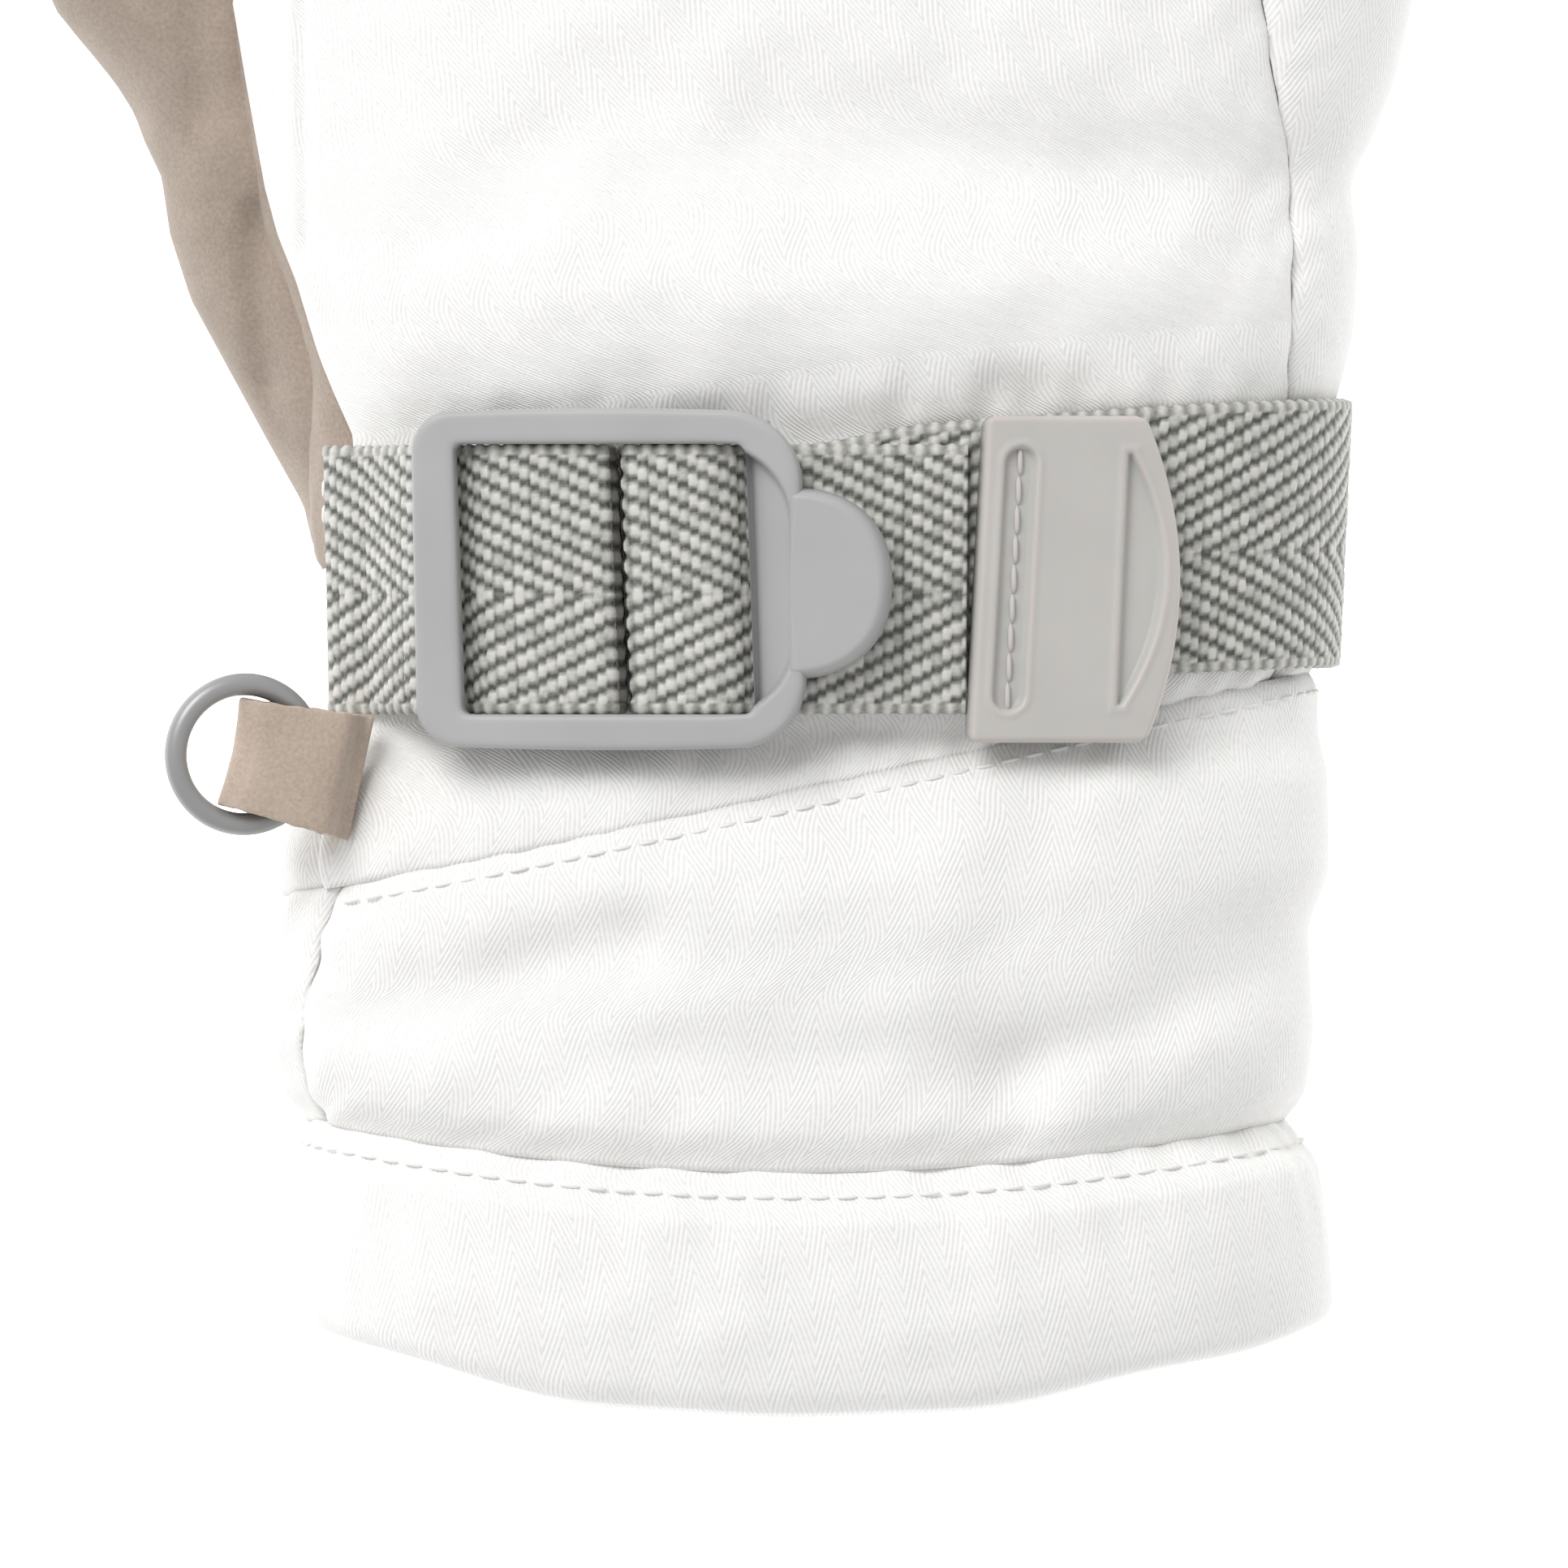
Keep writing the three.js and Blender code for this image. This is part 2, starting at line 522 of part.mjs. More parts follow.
function addStraps() {
  const frameLeft = -buckleWidth / 2;
  const frameRight = buckleWidth / 2;
  const corner = 0.35 * webbingThickness;
  const foldEnd = frameLeft - foldBack;
  const outsideLeft = degreesOver(buckleX + foldEnd - 2 * webbingThickness);
  const left = [
    ...anglesBetween(leftStrapEnd, outsideLeft, 4).map((angle) => onGlove(angle, lowerLayer)),
    inBuckle(frameLeft, upperLayer),
    inBuckle(openingLeft, upperLayer),
    inBuckle(firstBarLeft - corner, overBar),
    inBuckle(firstBarRight + corner, overBar),
    inBuckle(firstBarRight + besideBar, overBar - 2 * corner),
    inBuckle(firstBarRight + besideBar, lowerLayer + 2 * corner),
    inBuckle(firstBarRight + corner, lowerLayer),
    inBuckle(frameLeft, lowerLayer),
    inBuckle(foldEnd, lowerLayer),
  ];
  addPiece('left_strap', ribbon(left), webbing);

  const underTab = buckleX + frameRight + tabReach;
  const tailEnd = endTabX - endTabLength / 2 - clearance;
  const rise = (angle) => {
    const x = shellPoint(angle, 0).x;
    return strapRise * THREE.MathUtils.smoothstep(x, underTab, 1.1 * wristWidth / 2);
  };
  const right = [
    ...anglesBetween(rightStrapEnd, degreesOver(underTab), 16).map((angle) => onGlove(angle, lowerLayer, rise(angle))),
    inBuckle(frameRight, lowerLayer),
    inBuckle(secondBarLeft - corner, lowerLayer),
    inBuckle(secondBarLeft - besideBar, lowerLayer + 2 * corner),
    inBuckle(secondBarLeft - besideBar, overBar - 2 * corner),
    inBuckle(secondBarLeft - corner, overBar),
    inBuckle(secondBarRight + corner, overBar),
    inBuckle(openingRight, upperLayer),
    inBuckle(frameRight, upperLayer),
    ...anglesBetween(degreesOver(underTab), degreesOver(tailEnd), 5).map((angle) => onGlove(angle, upperLayer)),
  ];
  addPiece('right_strap', ribbon(right), webbing);
}

function plate(outline, thickness, bevel) {
  return new THREE.ExtrudeGeometry(outline, {
    depth: thickness - 2 * bevel,
    bevelThickness: bevel,
    bevelSize: bevel,
    bevelOffset: -bevel,
    bevelSegments: 1,
    curveSegments: 3,
    bevelEnabled: bevel > 0,
  }).translate(0, 0, bevel);
}

function roundedRectangle(left, bottom, right, top, radius) {
  const outline = new THREE.Shape();
  outline.moveTo(left + radius, bottom);
  outline.lineTo(right - radius, bottom);
  outline.absarc(right - radius, bottom + radius, radius, -Math.PI / 2, 0);
  outline.lineTo(right, top - radius);
  outline.absarc(right - radius, top - radius, radius, 0, Math.PI / 2);
  outline.lineTo(left + radius, top);
  outline.absarc(left + radius, top - radius, radius, Math.PI / 2, Math.PI);
  outline.lineTo(left, bottom + radius);
  outline.absarc(left + radius, bottom + radius, radius, Math.PI, 1.5 * Math.PI);
  return outline;
}

function addBuckle() {
  const edge = 0.6;
  const openingHalf = webbingWidth / 2 + openingMargin;
  const halfWidth = buckleWidth / 2;
  const halfHeight = buckleHeight / 2;
  const frame = roundedRectangle(-halfWidth, -halfHeight, halfWidth, halfHeight, 3.2);
  frame.holes.push(roundedRectangle(openingLeft, -openingHalf, openingRight, openingHalf, 1.2));
  const framePlate = plate(frame, buckleFrame, edge).translate(0, 0, frameBottom);

  const tab = new THREE.Shape();
  const tabInside = (openingRight + halfWidth) / 2;
  const tabEnd = halfWidth + tabReach - tabInside;
  tab.absellipse(tabInside, tabRaise, tabEnd, tabHeight / 2, -Math.PI / 2, Math.PI / 2);
  const tabPlate = plate(tab, tabThickness, 0.4).translate(0, 0, frameBottom);

  const railWidth = halfHeight - openingHalf - edge;
  const railLength = buckleWidth - 2 * edge - 4;
  const railMiddle = openingHalf + railWidth / 2;
  const join = edge;
  const railDepth = frameBottom - barBottom + join;
  const rails = [-1, 1].map((side) => new THREE.BoxGeometry(railLength, railWidth, railDepth)
    .translate(0, side * railMiddle, barBottom + railDepth / 2));
  const bars = [[firstBarLeft, firstBarRight], [secondBarLeft, secondBarRight]].map(([left, right]) =>
    new THREE.BoxGeometry(right - left, 2 * openingHalf + railWidth, barThickness)
      .translate((left + right) / 2, 0, barBottom + barThickness / 2));

  const solid = [tabPlate, ...rails, ...bars].reduce((sum, piece) => sum.add(toSolid(piece)), toSolid(framePlate));
  const seat = new THREE.Group();
  seat.position.set(buckleX, strapMiddle, buckleBase);
  seat.rotation.y = -buckleTilt;
  glove.add(seat);
  addPiece('buckle', toGeometry(solid), bucklePlastic, seat);
}

function addEndTab() {
  const height = backHeight(endTabX, 0);
  const tilt = Math.atan2(backHeight(endTabX + tiltProbe, 0) - backHeight(endTabX - tiltProbe, 0), 2 * tiltProbe);
  const half = endTabLength / 2;
  const top = endTabWidth / 2;
  const bulge = 0.17 * endTabLength;
  const outline = new THREE.Shape();
  outline.moveTo(-half, -top);
  outline.lineTo(half - bulge, -top);
  outline.quadraticCurveTo(half + bulge, 0, half - bulge, top);
  outline.lineTo(-half, top);
  const seat = new THREE.Group();
  seat.position.set(endTabX, strapMiddle, height);
  seat.rotation.y = -tilt;
  glove.add(seat);
  const lift = upperLayer - webbingThickness / 2;
  addPiece('strap_end_tab', plate(outline, endTabThickness, 0.5).translate(0, 0, lift), tabRubber, seat);
}

function addRing() {
  const seat = new THREE.Group();
  const loopFoot = loopSewnGap / 2 + loopThickness + clearance;
  seat.position.set(loopSeamX, loopSeamY, backHeight(loopSeamX, loopSeamY - loopSeamWidth / 4) + loopFoot);
  seat.rotation.set(0, -radians(loopDroop), Math.PI - radians(loopTurn), 'ZYX');
  glove.add(seat);

  const tube = ringWire / 2;
  const ring = new THREE.TorusGeometry(ringOuter / 2 - tube, tube, 6, 20).translate(ringFromSeam, 0, 0);
  addPiece('ring', ring, ringPaint, seat);

  const sewn = (loopSewnGap + loopThickness) / 2;
  const open = tube + clearance + loopThickness / 2;
  const foldStart = loopReach - open - loopThickness / 2;
  const wireStart = ringFromSeam - ringOuter / 2 - clearance;
  const layer = [[0, sewn], [wireStart, open], [foldStart, open]];
  const turned = [60, 30, 0].map((angle) =>
    [foldStart + open * Math.cos(radians(angle)), open * Math.sin(radians(angle))]);
  const upper = [...layer, ...turned];
  const path = [...upper, ...upper.slice(0, -1).reverse().map(([x, z]) => [x, -z])];
  const widthAt = (x) => mix(loopSeamWidth, loopFoldWidth, x / loopReach) / 2;
  const rings = path.map(([x, z], i) => {
    const before = path[Math.max(0, i - 1)];
    const after = path[Math.min(path.length - 1, i + 1)];
    const along = new THREE.Vector2(after[0] - before[0], after[1] - before[1]).normalize();
    const side = new THREE.Vector2(-along.y, along.x).multiplyScalar(loopThickness / 2);
    const corner = (face, edge) =>
      new THREE.Vector3(x + face * side.x, edge * widthAt(x), z + face * side.y);
    return [corner(1, -1), corner(1, 1), corner(-1, 1), corner(-1, -1), corner(1, -1)];
  });
  addPiece('ring_loop', bodyInside(rings), suede, seat);
}

addHand();
addThumb();
addFingers();
addCuff();
addStraps();
addBuckle();
addEndTab();
addRing();

export default glove;
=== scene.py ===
import math

import bmesh
import bpy
import numpy as np
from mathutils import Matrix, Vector


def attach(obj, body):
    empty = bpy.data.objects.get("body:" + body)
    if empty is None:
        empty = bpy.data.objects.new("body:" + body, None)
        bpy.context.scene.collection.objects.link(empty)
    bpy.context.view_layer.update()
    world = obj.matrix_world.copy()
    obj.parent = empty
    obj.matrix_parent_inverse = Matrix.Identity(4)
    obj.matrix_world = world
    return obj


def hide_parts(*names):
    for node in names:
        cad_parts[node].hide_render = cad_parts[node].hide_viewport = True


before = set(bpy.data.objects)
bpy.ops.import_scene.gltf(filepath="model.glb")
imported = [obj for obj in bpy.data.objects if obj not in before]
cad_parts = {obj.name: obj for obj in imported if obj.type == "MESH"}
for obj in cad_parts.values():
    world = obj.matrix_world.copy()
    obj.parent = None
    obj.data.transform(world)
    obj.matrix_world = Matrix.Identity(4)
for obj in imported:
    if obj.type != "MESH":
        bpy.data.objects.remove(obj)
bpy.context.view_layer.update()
mm = 0.001

# The glove's driving sizes in millimetres. It lies palm down, fingers towards +Y, thumb towards -X.
# gap is the space between two panels at their seam: below zero they overlap
glove = {
    "wristWidth": 93.6, "wristHeight": 41.0, "cuffLength": 71.5, "hemDip": 8.5, "hemBand": 19.2,
    "handLength": 97.0, "littleDrop": 9.0, "wall": 2.8, "pressedFlat": 4.0, "roundness": 2.6,
    "axisShare": 0.45, "seamMiddle": -20.4, "seamRise": 0.2145, "gap": -0.3, "dipFrom": 0.22,
    "insideX": 0, "insideZ": 18,
}

# along is a share of cuffLength below the strap and of handLength above it; left and right are shares
# of wristWidth, tall of wristHeight
sections = {
    "along": [-1.0, -0.895, -0.797, -0.734, -0.685, -0.615, -0.49, -0.392, -0.29, -0.22,
              0.112, 0.168, 0.215, 0.255, 0.33, 0.398, 0.464, 0.536, 0.68, 0.825, 1.0],
    "left": [-0.543, -0.538, -0.54, -0.546, -0.562, -0.574, -0.569, -0.565, -0.545, -0.524,
             -0.53, -0.528, -0.537, -0.55, -0.578, -0.594, -0.61, -0.62, -0.614, -0.588, -0.545],
    "right": [0.502, 0.497, 0.487, 0.466, 0.4765, 0.481, 0.4765, 0.497, 0.496, 0.488,
              0.495, 0.503, 0.515, 0.522, 0.526, 0.52, 0.545, 0.568, 0.591, 0.59, 0.556],
    "tall": [1.08, 1.12, 1.11, 1.06, 1.1, 1.13, 1.11, 1.1, 1.07, 1.0,
             1.0, 1.06, 1.09, 1.1, 1.07, 1.04, 1.03, 1.02, 0.98, 0.93, 0.84],
}

# Soft folds on the back: ends in millimetres, depth of the valley and its half width
backFolds = [
    {"a": (-43, -42), "b": (-19, -36), "depth": 2.4, "spread": 4.6},
    {"a": (-28, -46.5), "b": (17, -48), "depth": 2.0, "spread": 5.0},
    {"a": (17, -48), "b": (44, -36.5), "depth": 2.2, "spread": 4.6},
    {"a": (-30, -33), "b": (10, -30), "depth": -0.9, "spread": 6.0},
    {"a": (15, 15.2), "b": (19, 15.6), "depth": 1.3, "spread": 2.6},
    {"a": (-5, 41), "b": (28, 35), "depth": 1.7, "spread": 5.5},
    {"a": (-38, 30), "b": (-20, 44), "depth": 0.9, "spread": 5.0},
    {"a": (1, -15.5), "b": (12, -16.5), "depth": 1.0, "spread": 2.4},
    {"a": (34, 24), "b": (44, 38), "depth": 1.0, "spread": 3.5},
    {"a": (-44.2, -14), "b": (-46.6, -26.5), "depth": 0.9, "spread": 0.7},
    {"a": (-50.2, 70), "b": (-49.7, 29), "depth": 0.8, "spread": 0.55},
    {"a": (-51.6, 70), "b": (-50.8, 31), "depth": -0.5, "spread": 0.9},
]
# Small waves of the padded back, and the short gathers above and below the strap
puff = {
    "waves": [{"high": 0.22, "length": 17, "seed": 3}, {"high": 0.1, "length": 7, "seed": 4}],
    "gatherHigh": 0.3, "gatherLength": 4.6, "gatherStretch": 0.3, "gatherSeed": 5,
    "aboveStrap": 14, "aboveSlope": 0.05, "aboveSpread": 3.0, "belowStrap": -17, "belowSpread": 2.6,
}


# A column of the table at any place: cubic pieces whose slopes are harmonic means, so nothing overshoots
def readColumn(column, along):
    x = np.array(sections["along"])
    y = np.array(sections[column])
    slope = np.diff(y) / np.diff(x)
    before, after = slope[:-1], slope[1:]
    same = before * after > 0
    total = np.where(same, before + after, 1.0)
    tangent = np.concatenate([slope[:1], np.where(same, 2 * before * after / total, 0.0), slope[-1:]])
    i = np.clip(np.searchsorted(x, along, side="right") - 1, 0, len(x) - 2)
    step = x[i + 1] - x[i]
    u = (along - x[i]) / step
    rest = 1 - u
    start = y[i] * (1 + 2 * u) * rest**2 + tangent[i] * step * u * rest**2
    end = y[i + 1] * (3 - 2 * u) * u**2 - tangent[i + 1] * step * rest * u**2
    return start + end


# The section at v: its middle, half its width, its height and the height of its widest place, each a
# share from the table times the size it follows
def sectionAt(v):
    along = np.where(v < 0, v / glove["cuffLength"], v / glove["handLength"])
    left = readColumn("left", along) * glove["wristWidth"]
    right = readColumn("right", along) * glove["wristWidth"]
    tall = readColumn("tall", along) * glove["wristHeight"]
    return (left + right) / 2, (right - left) / 2, tall, tall * glove["axisShare"]


# A unit superellipse: cosine and sine raised to 2 / power, with their signs kept
def superellipse(degrees, power):
    c = np.round(np.cos(np.radians(degrees)), 9)
    s = np.round(np.sin(np.radians(degrees)), 9)
    return np.sign(c) * np.abs(c) ** (2 / power), np.sign(s) * np.abs(s) ** (2 / power)


# Sum of bell-shaped valleys, each along a line from a to b
def foldDepth(x, y, folds):
    depth = np.zeros(np.broadcast(x, y).shape)
    for fold in folds:
        ax, ay = fold["a"]
        bx, by = fold["b"]
        lineX, lineY = bx - ax, by - ay
        share = np.clip(((x - ax) * lineX + (y - ay) * lineY) / (lineX**2 + lineY**2), 0, 1)
        away = np.hypot(x - ax - share * lineX, y - ay - share * lineY) / fold["spread"]
        depth = depth + fold["depth"] * np.exp(-(away**2))
    return depth


# Place along the glove: the hem dips by 1 - across squared, and the finger roots draw back towards the
# little finger by a power of across
def bentAlong(v, across):
    zone = glove["dipFrom"] * glove["cuffLength"]
    past = np.maximum(0, (-v - zone) / (glove["cuffLength"] - zone))
    low = v - glove["hemDip"] * past**1.4 * (1 - across**2)
    high = v * (1 - glove["littleDrop"] / glove["handLength"] * np.maximum(0, across) ** 1.6)
    return np.where(v < 0, low, high)


# Rises smoothly from 0 at low to 1 at high
def smoothStep(value, low, high):
    share = np.clip((value - low) / (high - low), 0, 1)
    return share * share * (3 - 2 * share)


# Smooth waves of several lengths and directions, seeded, about 1 high
def softNoise(x, y, length, seed, count=7):
    random = np.random.default_rng(seed)
    total = np.zeros(np.broadcast(x, y).shape)
    for _ in range(count):
        angle = random.uniform(0, 2 * math.pi)
        wave = length * random.uniform(0.7, 1.6)
        phase = random.uniform(0, 2 * math.pi)
        total = total + np.sin((x * math.cos(angle) + y * math.sin(angle)) * 2 * math.pi / wave + phase)
    return total / count**0.5


# A point of the hand and cuff: degrees round from the little finger side over the back, v along, and
# inset below the outer face, all in millimetres
def shellPoint(degrees, v, inset=0.0, wrinkles=True):
    middle, half, tall, axis = sectionAt(v)
    across, up = superellipse(degrees, glove["roundness"])
    x = middle + (half - inset) * across
    y = bentAlong(v, across)
    fold = foldDepth(x, y, backFolds) if wrinkles else 0.0
    if wrinkles:
        for wave in puff["waves"]:
            fold = fold + wave["high"] * softNoise(x, y, wave["length"], wave["seed"])
        above = (y - puff["aboveStrap"] - puff["aboveSlope"] * x) / puff["aboveSpread"]
        below = (y - puff["belowStrap"]) / puff["belowSpread"]
        nearStrap = np.exp(-(above**2)) + np.exp(-(below**2))
        gathers = softNoise(x, y * puff["gatherStretch"], puff["gatherLength"], puff["gatherSeed"])
        fold = fold + puff["gatherHigh"] * gathers * nearStrap
    top = axis + (tall - axis - inset) * up - fold * np.clip(up, 0, 1)
    low = np.maximum(inset, axis + (axis + glove["pressedFlat"] - inset) * up)
    return np.stack([x, y, np.where(up >= 0, top, low)], axis=-1)


# Height of the outer face over a point of the floor: the section's superellipse solved for height
def backHeight(x, y):
    middle, half, tall, axis = sectionAt(np.asarray(y, float))
    across = np.clip((x - middle) / half, -1, 1)
    up = (1 - np.abs(across) ** glove["roundness"]) ** (1 / glove["roundness"])
    return axis + (tall - axis) * up


# A grid of two values: the first changes from row to row, the second from column to column
def overGrid(byRow, byColumn):
    return np.meshgrid(byRow, byColumn, indexing="ij")


# Length over the cloth from the first column: the steps between neighbouring points, summed along rows
def lengthAcross(points):
    steps = np.linalg.norm(np.diff(points, axis=1), axis=-1)
    return np.concatenate([np.zeros((len(points), 1)), np.cumsum(steps, axis=1)], axis=1)


# Puts a grid of points in millimetres into a mesh. ring closes it round, caps close its ends, uv is in
# millimetres on the cloth, and shades holds one more number for each point
def gridMesh(name, points, uv=None, ring=False, startCap=False, endCap=False, shades=None):
    rows, columns = points.shape[:2]
    steps = columns if ring else columns - 1
    i, j = overGrid(np.arange(rows - 1), np.arange(steps))
    nextJ = (j + 1) % columns
    near, far = i * columns, (i + 1) * columns
    faces = np.stack([near + j, near + nextJ, far + nextJ, far + j], -1).reshape(-1, 4).tolist()
    if startCap:
        faces.append(np.arange(columns)[::-1].tolist())
    if endCap:
        faces.append(((rows - 1) * columns + np.arange(columns)).tolist())
    mesh = bpy.data.meshes.new(name)
    mesh.from_pydata((points.reshape(-1, 3) * mm).tolist(), [], faces)
    if uv is not None:
        if ring:
            uv = np.concatenate([uv, uv[:, :1] * 2 - uv[:, 1:2]], axis=1)
        corners = np.stack([uv[i, j], uv[i, j + 1], uv[i + 1, j + 1], uv[i + 1, j]], axis=2)
        flat = np.zeros((len(mesh.loops), 2))
        flat[: corners.reshape(-1, 2).shape[0]] = corners.reshape(-1, 2)
        layer = mesh.uv_layers.new(name="cloth")
        layer.data.foreach_set("uv", flat.ravel())
    if shades is not None:
        layer = mesh.attributes.new("relief", "FLOAT", "POINT")
        layer.data.foreach_set("value", shades.ravel())
    mesh.polygons.foreach_set("use_smooth", np.ones(len(mesh.polygons), bool))
    mesh.update()
    return mesh


# Turns a mesh so that its faces point away from a line along Y, at X and Z in millimetres
def faceOut(mesh, x, z):
    centres = np.zeros(len(mesh.polygons) * 3)
    normals = np.zeros(len(mesh.polygons) * 3)
    mesh.polygons.foreach_get("center", centres)
    mesh.polygons.foreach_get("normal", normals)
    away = centres.reshape(-1, 3) - np.array([x * mm, 0, z * mm])
    away[:, 1] = 0
    if (away * normals.reshape(-1, 3)).sum() < 0:
        mesh.flip_normals()


# Volume under the faces, from the divergence theorem; it is below zero where faces point in
def signedVolume(mesh):
    centres = np.zeros(len(mesh.polygons) * 3)
    normals = np.zeros(len(mesh.polygons) * 3)
    areas = np.zeros(len(mesh.polygons))
    mesh.polygons.foreach_get("center", centres)
    mesh.polygons.foreach_get("normal", normals)
    mesh.polygons.foreach_get("area", areas)
    centres = centres.reshape(-1, 3) - centres.reshape(-1, 3).mean(axis=0)
    return float(((centres * normals.reshape(-1, 3)).sum(axis=1) * areas).sum())


# Turns a closed mesh whose volume is below zero, so that its faces point out
def closedOut(mesh):
    if signedVolume(mesh) < 0:
        mesh.flip_normals()
    return mesh


# Merges points nearer than a distance in metres, and where asked turns the faces outwards
def merged(mesh, distance=1e-6, turnOut=True):
    work = bmesh.new()
    work.from_mesh(mesh)
    bmesh.ops.remove_doubles(work, verts=work.verts, dist=distance)
    if turnOut:
        bmesh.ops.recalc_face_normals(work, faces=work.faces)
    work.to_mesh(mesh)
    work.free()
    mesh.polygons.foreach_set("use_smooth", np.ones(len(mesh.polygons), bool))
    return mesh


# Makes a finished piece of a mesh: linked, on the one body, with its colour slot and the solids it takes
# the place of
def place(name, mesh, material, nodes=()):
    piece = bpy.data.objects.new(f"{name}_finished", mesh)
    bpy.context.scene.collection.objects.link(piece)
    mesh.materials.append(material)
    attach(piece, "root")
    if nodes:
        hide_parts(*nodes)
    return piece


# Gives a panel its wall, inwards from the outer face
def thicken(piece, thickness):
    wall = piece.modifiers.new("wall", "SOLIDIFY")
    wall.thickness = thickness * mm
    wall.offset = -1
    wall.use_rim = True
    return piece


# Joins meshes made by this script into one
def joined(name, meshes):
    work = bmesh.new()
    for mesh in meshes:
        work.from_mesh(mesh)
    whole = bpy.data.meshes.new(name)
    work.to_mesh(whole)
    work.free()
    return whole


# Materials. look holds the roughness, the specular level and whatever else a finish needs
def newMaterial(name, look):
    material = bpy.data.materials.new(name)
    material.use_nodes = True
    nodes = material.node_tree.nodes
    shader = nodes["Principled BSDF"]
    shader.inputs["Roughness"].default_value = look["roughness"]
    shader.inputs["Specular IOR Level"].default_value = look["specular"]
    return material, nodes, material.node_tree.links, shader


# One sum, product or wave: each input is a number or another node's output
def mathNode(nodes, links, operation, a, b=None):
    node = nodes.new("ShaderNodeMath")
    node.operation = operation
    for socket, value in zip(node.inputs, (a, b)):
        if value is None:
            continue
        if isinstance(value, (int, float)):
            socket.default_value = value
        else:
            links.new(value, socket)
    return node.outputs[0]


# A colour for each height, from stops that are pairs of place and colour
def rampNode(nodes, links, source, stops):
    ramp = nodes.new("ShaderNodeValToRGB")
    links.new(source, ramp.inputs[0])
    while len(ramp.color_ramp.elements) < len(stops):
        ramp.color_ramp.elements.new(0.5)
    for element, (at, colour) in zip(ramp.color_ramp.elements, stops):
        element.position = at
        element.color = (*colour, 1)
    return ramp.outputs[0]


# Noise at a point, its scale in waves for each metre
def noiseNode(nodes, links, vector, scale, detail=3.0):
    noise = nodes.new("ShaderNodeTexNoise")
    noise.inputs["Scale"].default_value = scale
    noise.inputs["Detail"].default_value = detail
    links.new(vector, noise.inputs["Vector"])
    return noise.outputs["Fac"]


# Tilts the shading by the slope of a height, whose distance is in millimetres
def bumpInto(nodes, links, shader, height, strength, distance):
    bump = nodes.new("ShaderNodeBump")
    bump.inputs["Strength"].default_value = strength
    bump.inputs["Distance"].default_value = distance * mm
    links.new(height, bump.inputs["Height"])
    links.new(bump.outputs[0], shader.inputs["Normal"])


# White cloth: twill lines are a sine of the place along plus steepness times the zigzag of the place
# across, so that they turn at every column and read as herringbone. Their height also picks the colour,
# darker in the twill's grooves: painted shade
def whiteClothMaterial():
    look = {
        "column": 2.15, "pitch": 1.2, "steepness": 2.5, "roughness": 0.82, "specular": 0.25, "sheen": 0.15,
        "fineScale": 2400, "fineShare": 0.5, "broadScale": 260, "leastTwill": 0.25, "bump": 0.35,
        "bumpDepth": 0.22, "light": (0.93, 0.925, 0.91), "dark": (0.70, 0.69, 0.67), "lightFrom": 0.55,
    }
    material, nodes, links, shader = newMaterial("white herringbone cloth", look)
    shader.inputs["Sheen Weight"].default_value = look["sheen"]
    uv = nodes.new("ShaderNodeUVMap")
    uv.uv_map = "cloth"
    split = nodes.new("ShaderNodeSeparateXYZ")
    links.new(uv.outputs[0], split.inputs[0])
    zigzag = mathNode(nodes, links, "PINGPONG", split.outputs[0], look["column"])
    slope = mathNode(nodes, links, "MULTIPLY", zigzag, look["steepness"])
    line = mathNode(nodes, links, "ADD", slope, split.outputs[1])
    turns = mathNode(nodes, links, "MULTIPLY", line, 2 * math.pi / look["pitch"])
    twill = mathNode(nodes, links, "MULTIPLY_ADD", mathNode(nodes, links, "SINE", turns), 0.5)
    twill.node.inputs[2].default_value = 0.5
    coords = nodes.new("ShaderNodeTexCoord")
    fine = noiseNode(nodes, links, coords.outputs["Object"], look["fineScale"], 2.0)
    broad = noiseNode(nodes, links, coords.outputs["Object"], look["broadScale"], 3.0)
    strength = mathNode(nodes, links, "ADD", broad, look["leastTwill"])
    lines = mathNode(nodes, links, "MULTIPLY", twill, strength)
    grain = mathNode(nodes, links, "MULTIPLY", fine, look["fineShare"])
    height = mathNode(nodes, links, "ADD", lines, grain)
    # Painted shade: the cloth is darker where the twill is low; the fine noise adds a random tone
    colour = rampNode(nodes, links, height, [(0.0, look["dark"]), (look["lightFrom"], look["light"])])
    links.new(colour, shader.inputs["Base Color"])
    bumpInto(nodes, links, shader, height, look["bump"], look["bumpDepth"])
    return material


# Suede: fine nap and broad clouds of noise, mixed into one height that also picks the colour
def suedeMaterial(name, light, dark):
    look = {
        "roughness": 0.95, "specular": 0.15, "sheen": 0.2, "sheenRoughness": 0.5, "napScale": 2600,
        "napShare": 0.55, "cloudScale": 140, "cloudShare": 0.45, "bump": 0.5, "bumpDepth": 0.25,
        "darkTo": 0.3, "lightFrom": 0.66,
    }
    material, nodes, links, shader = newMaterial(name, look)
    shader.inputs["Sheen Weight"].default_value = look["sheen"]
    shader.inputs["Sheen Roughness"].default_value = look["sheenRoughness"]
    coords = nodes.new("ShaderNodeTexCoord")
    nap = noiseNode(nodes, links, coords.outputs["Object"], look["napScale"], 4.0)
    cloud = noiseNode(nodes, links, coords.outputs["Object"], look["cloudScale"], 4.0)
    napPart = mathNode(nodes, links, "MULTIPLY", nap, look["napShare"])
    cloudPart = mathNode(nodes, links, "MULTIPLY", cloud, look["cloudShare"])
    height = mathNode(nodes, links, "ADD", napPart, cloudPart)
    colour = rampNode(nodes, links, height, [(look["darkTo"], dark), (look["lightFrom"], light)])
    links.new(colour, shader.inputs["Base Color"])
    bumpInto(nodes, links, shader, height, look["bump"], look["bumpDepth"])
    return material
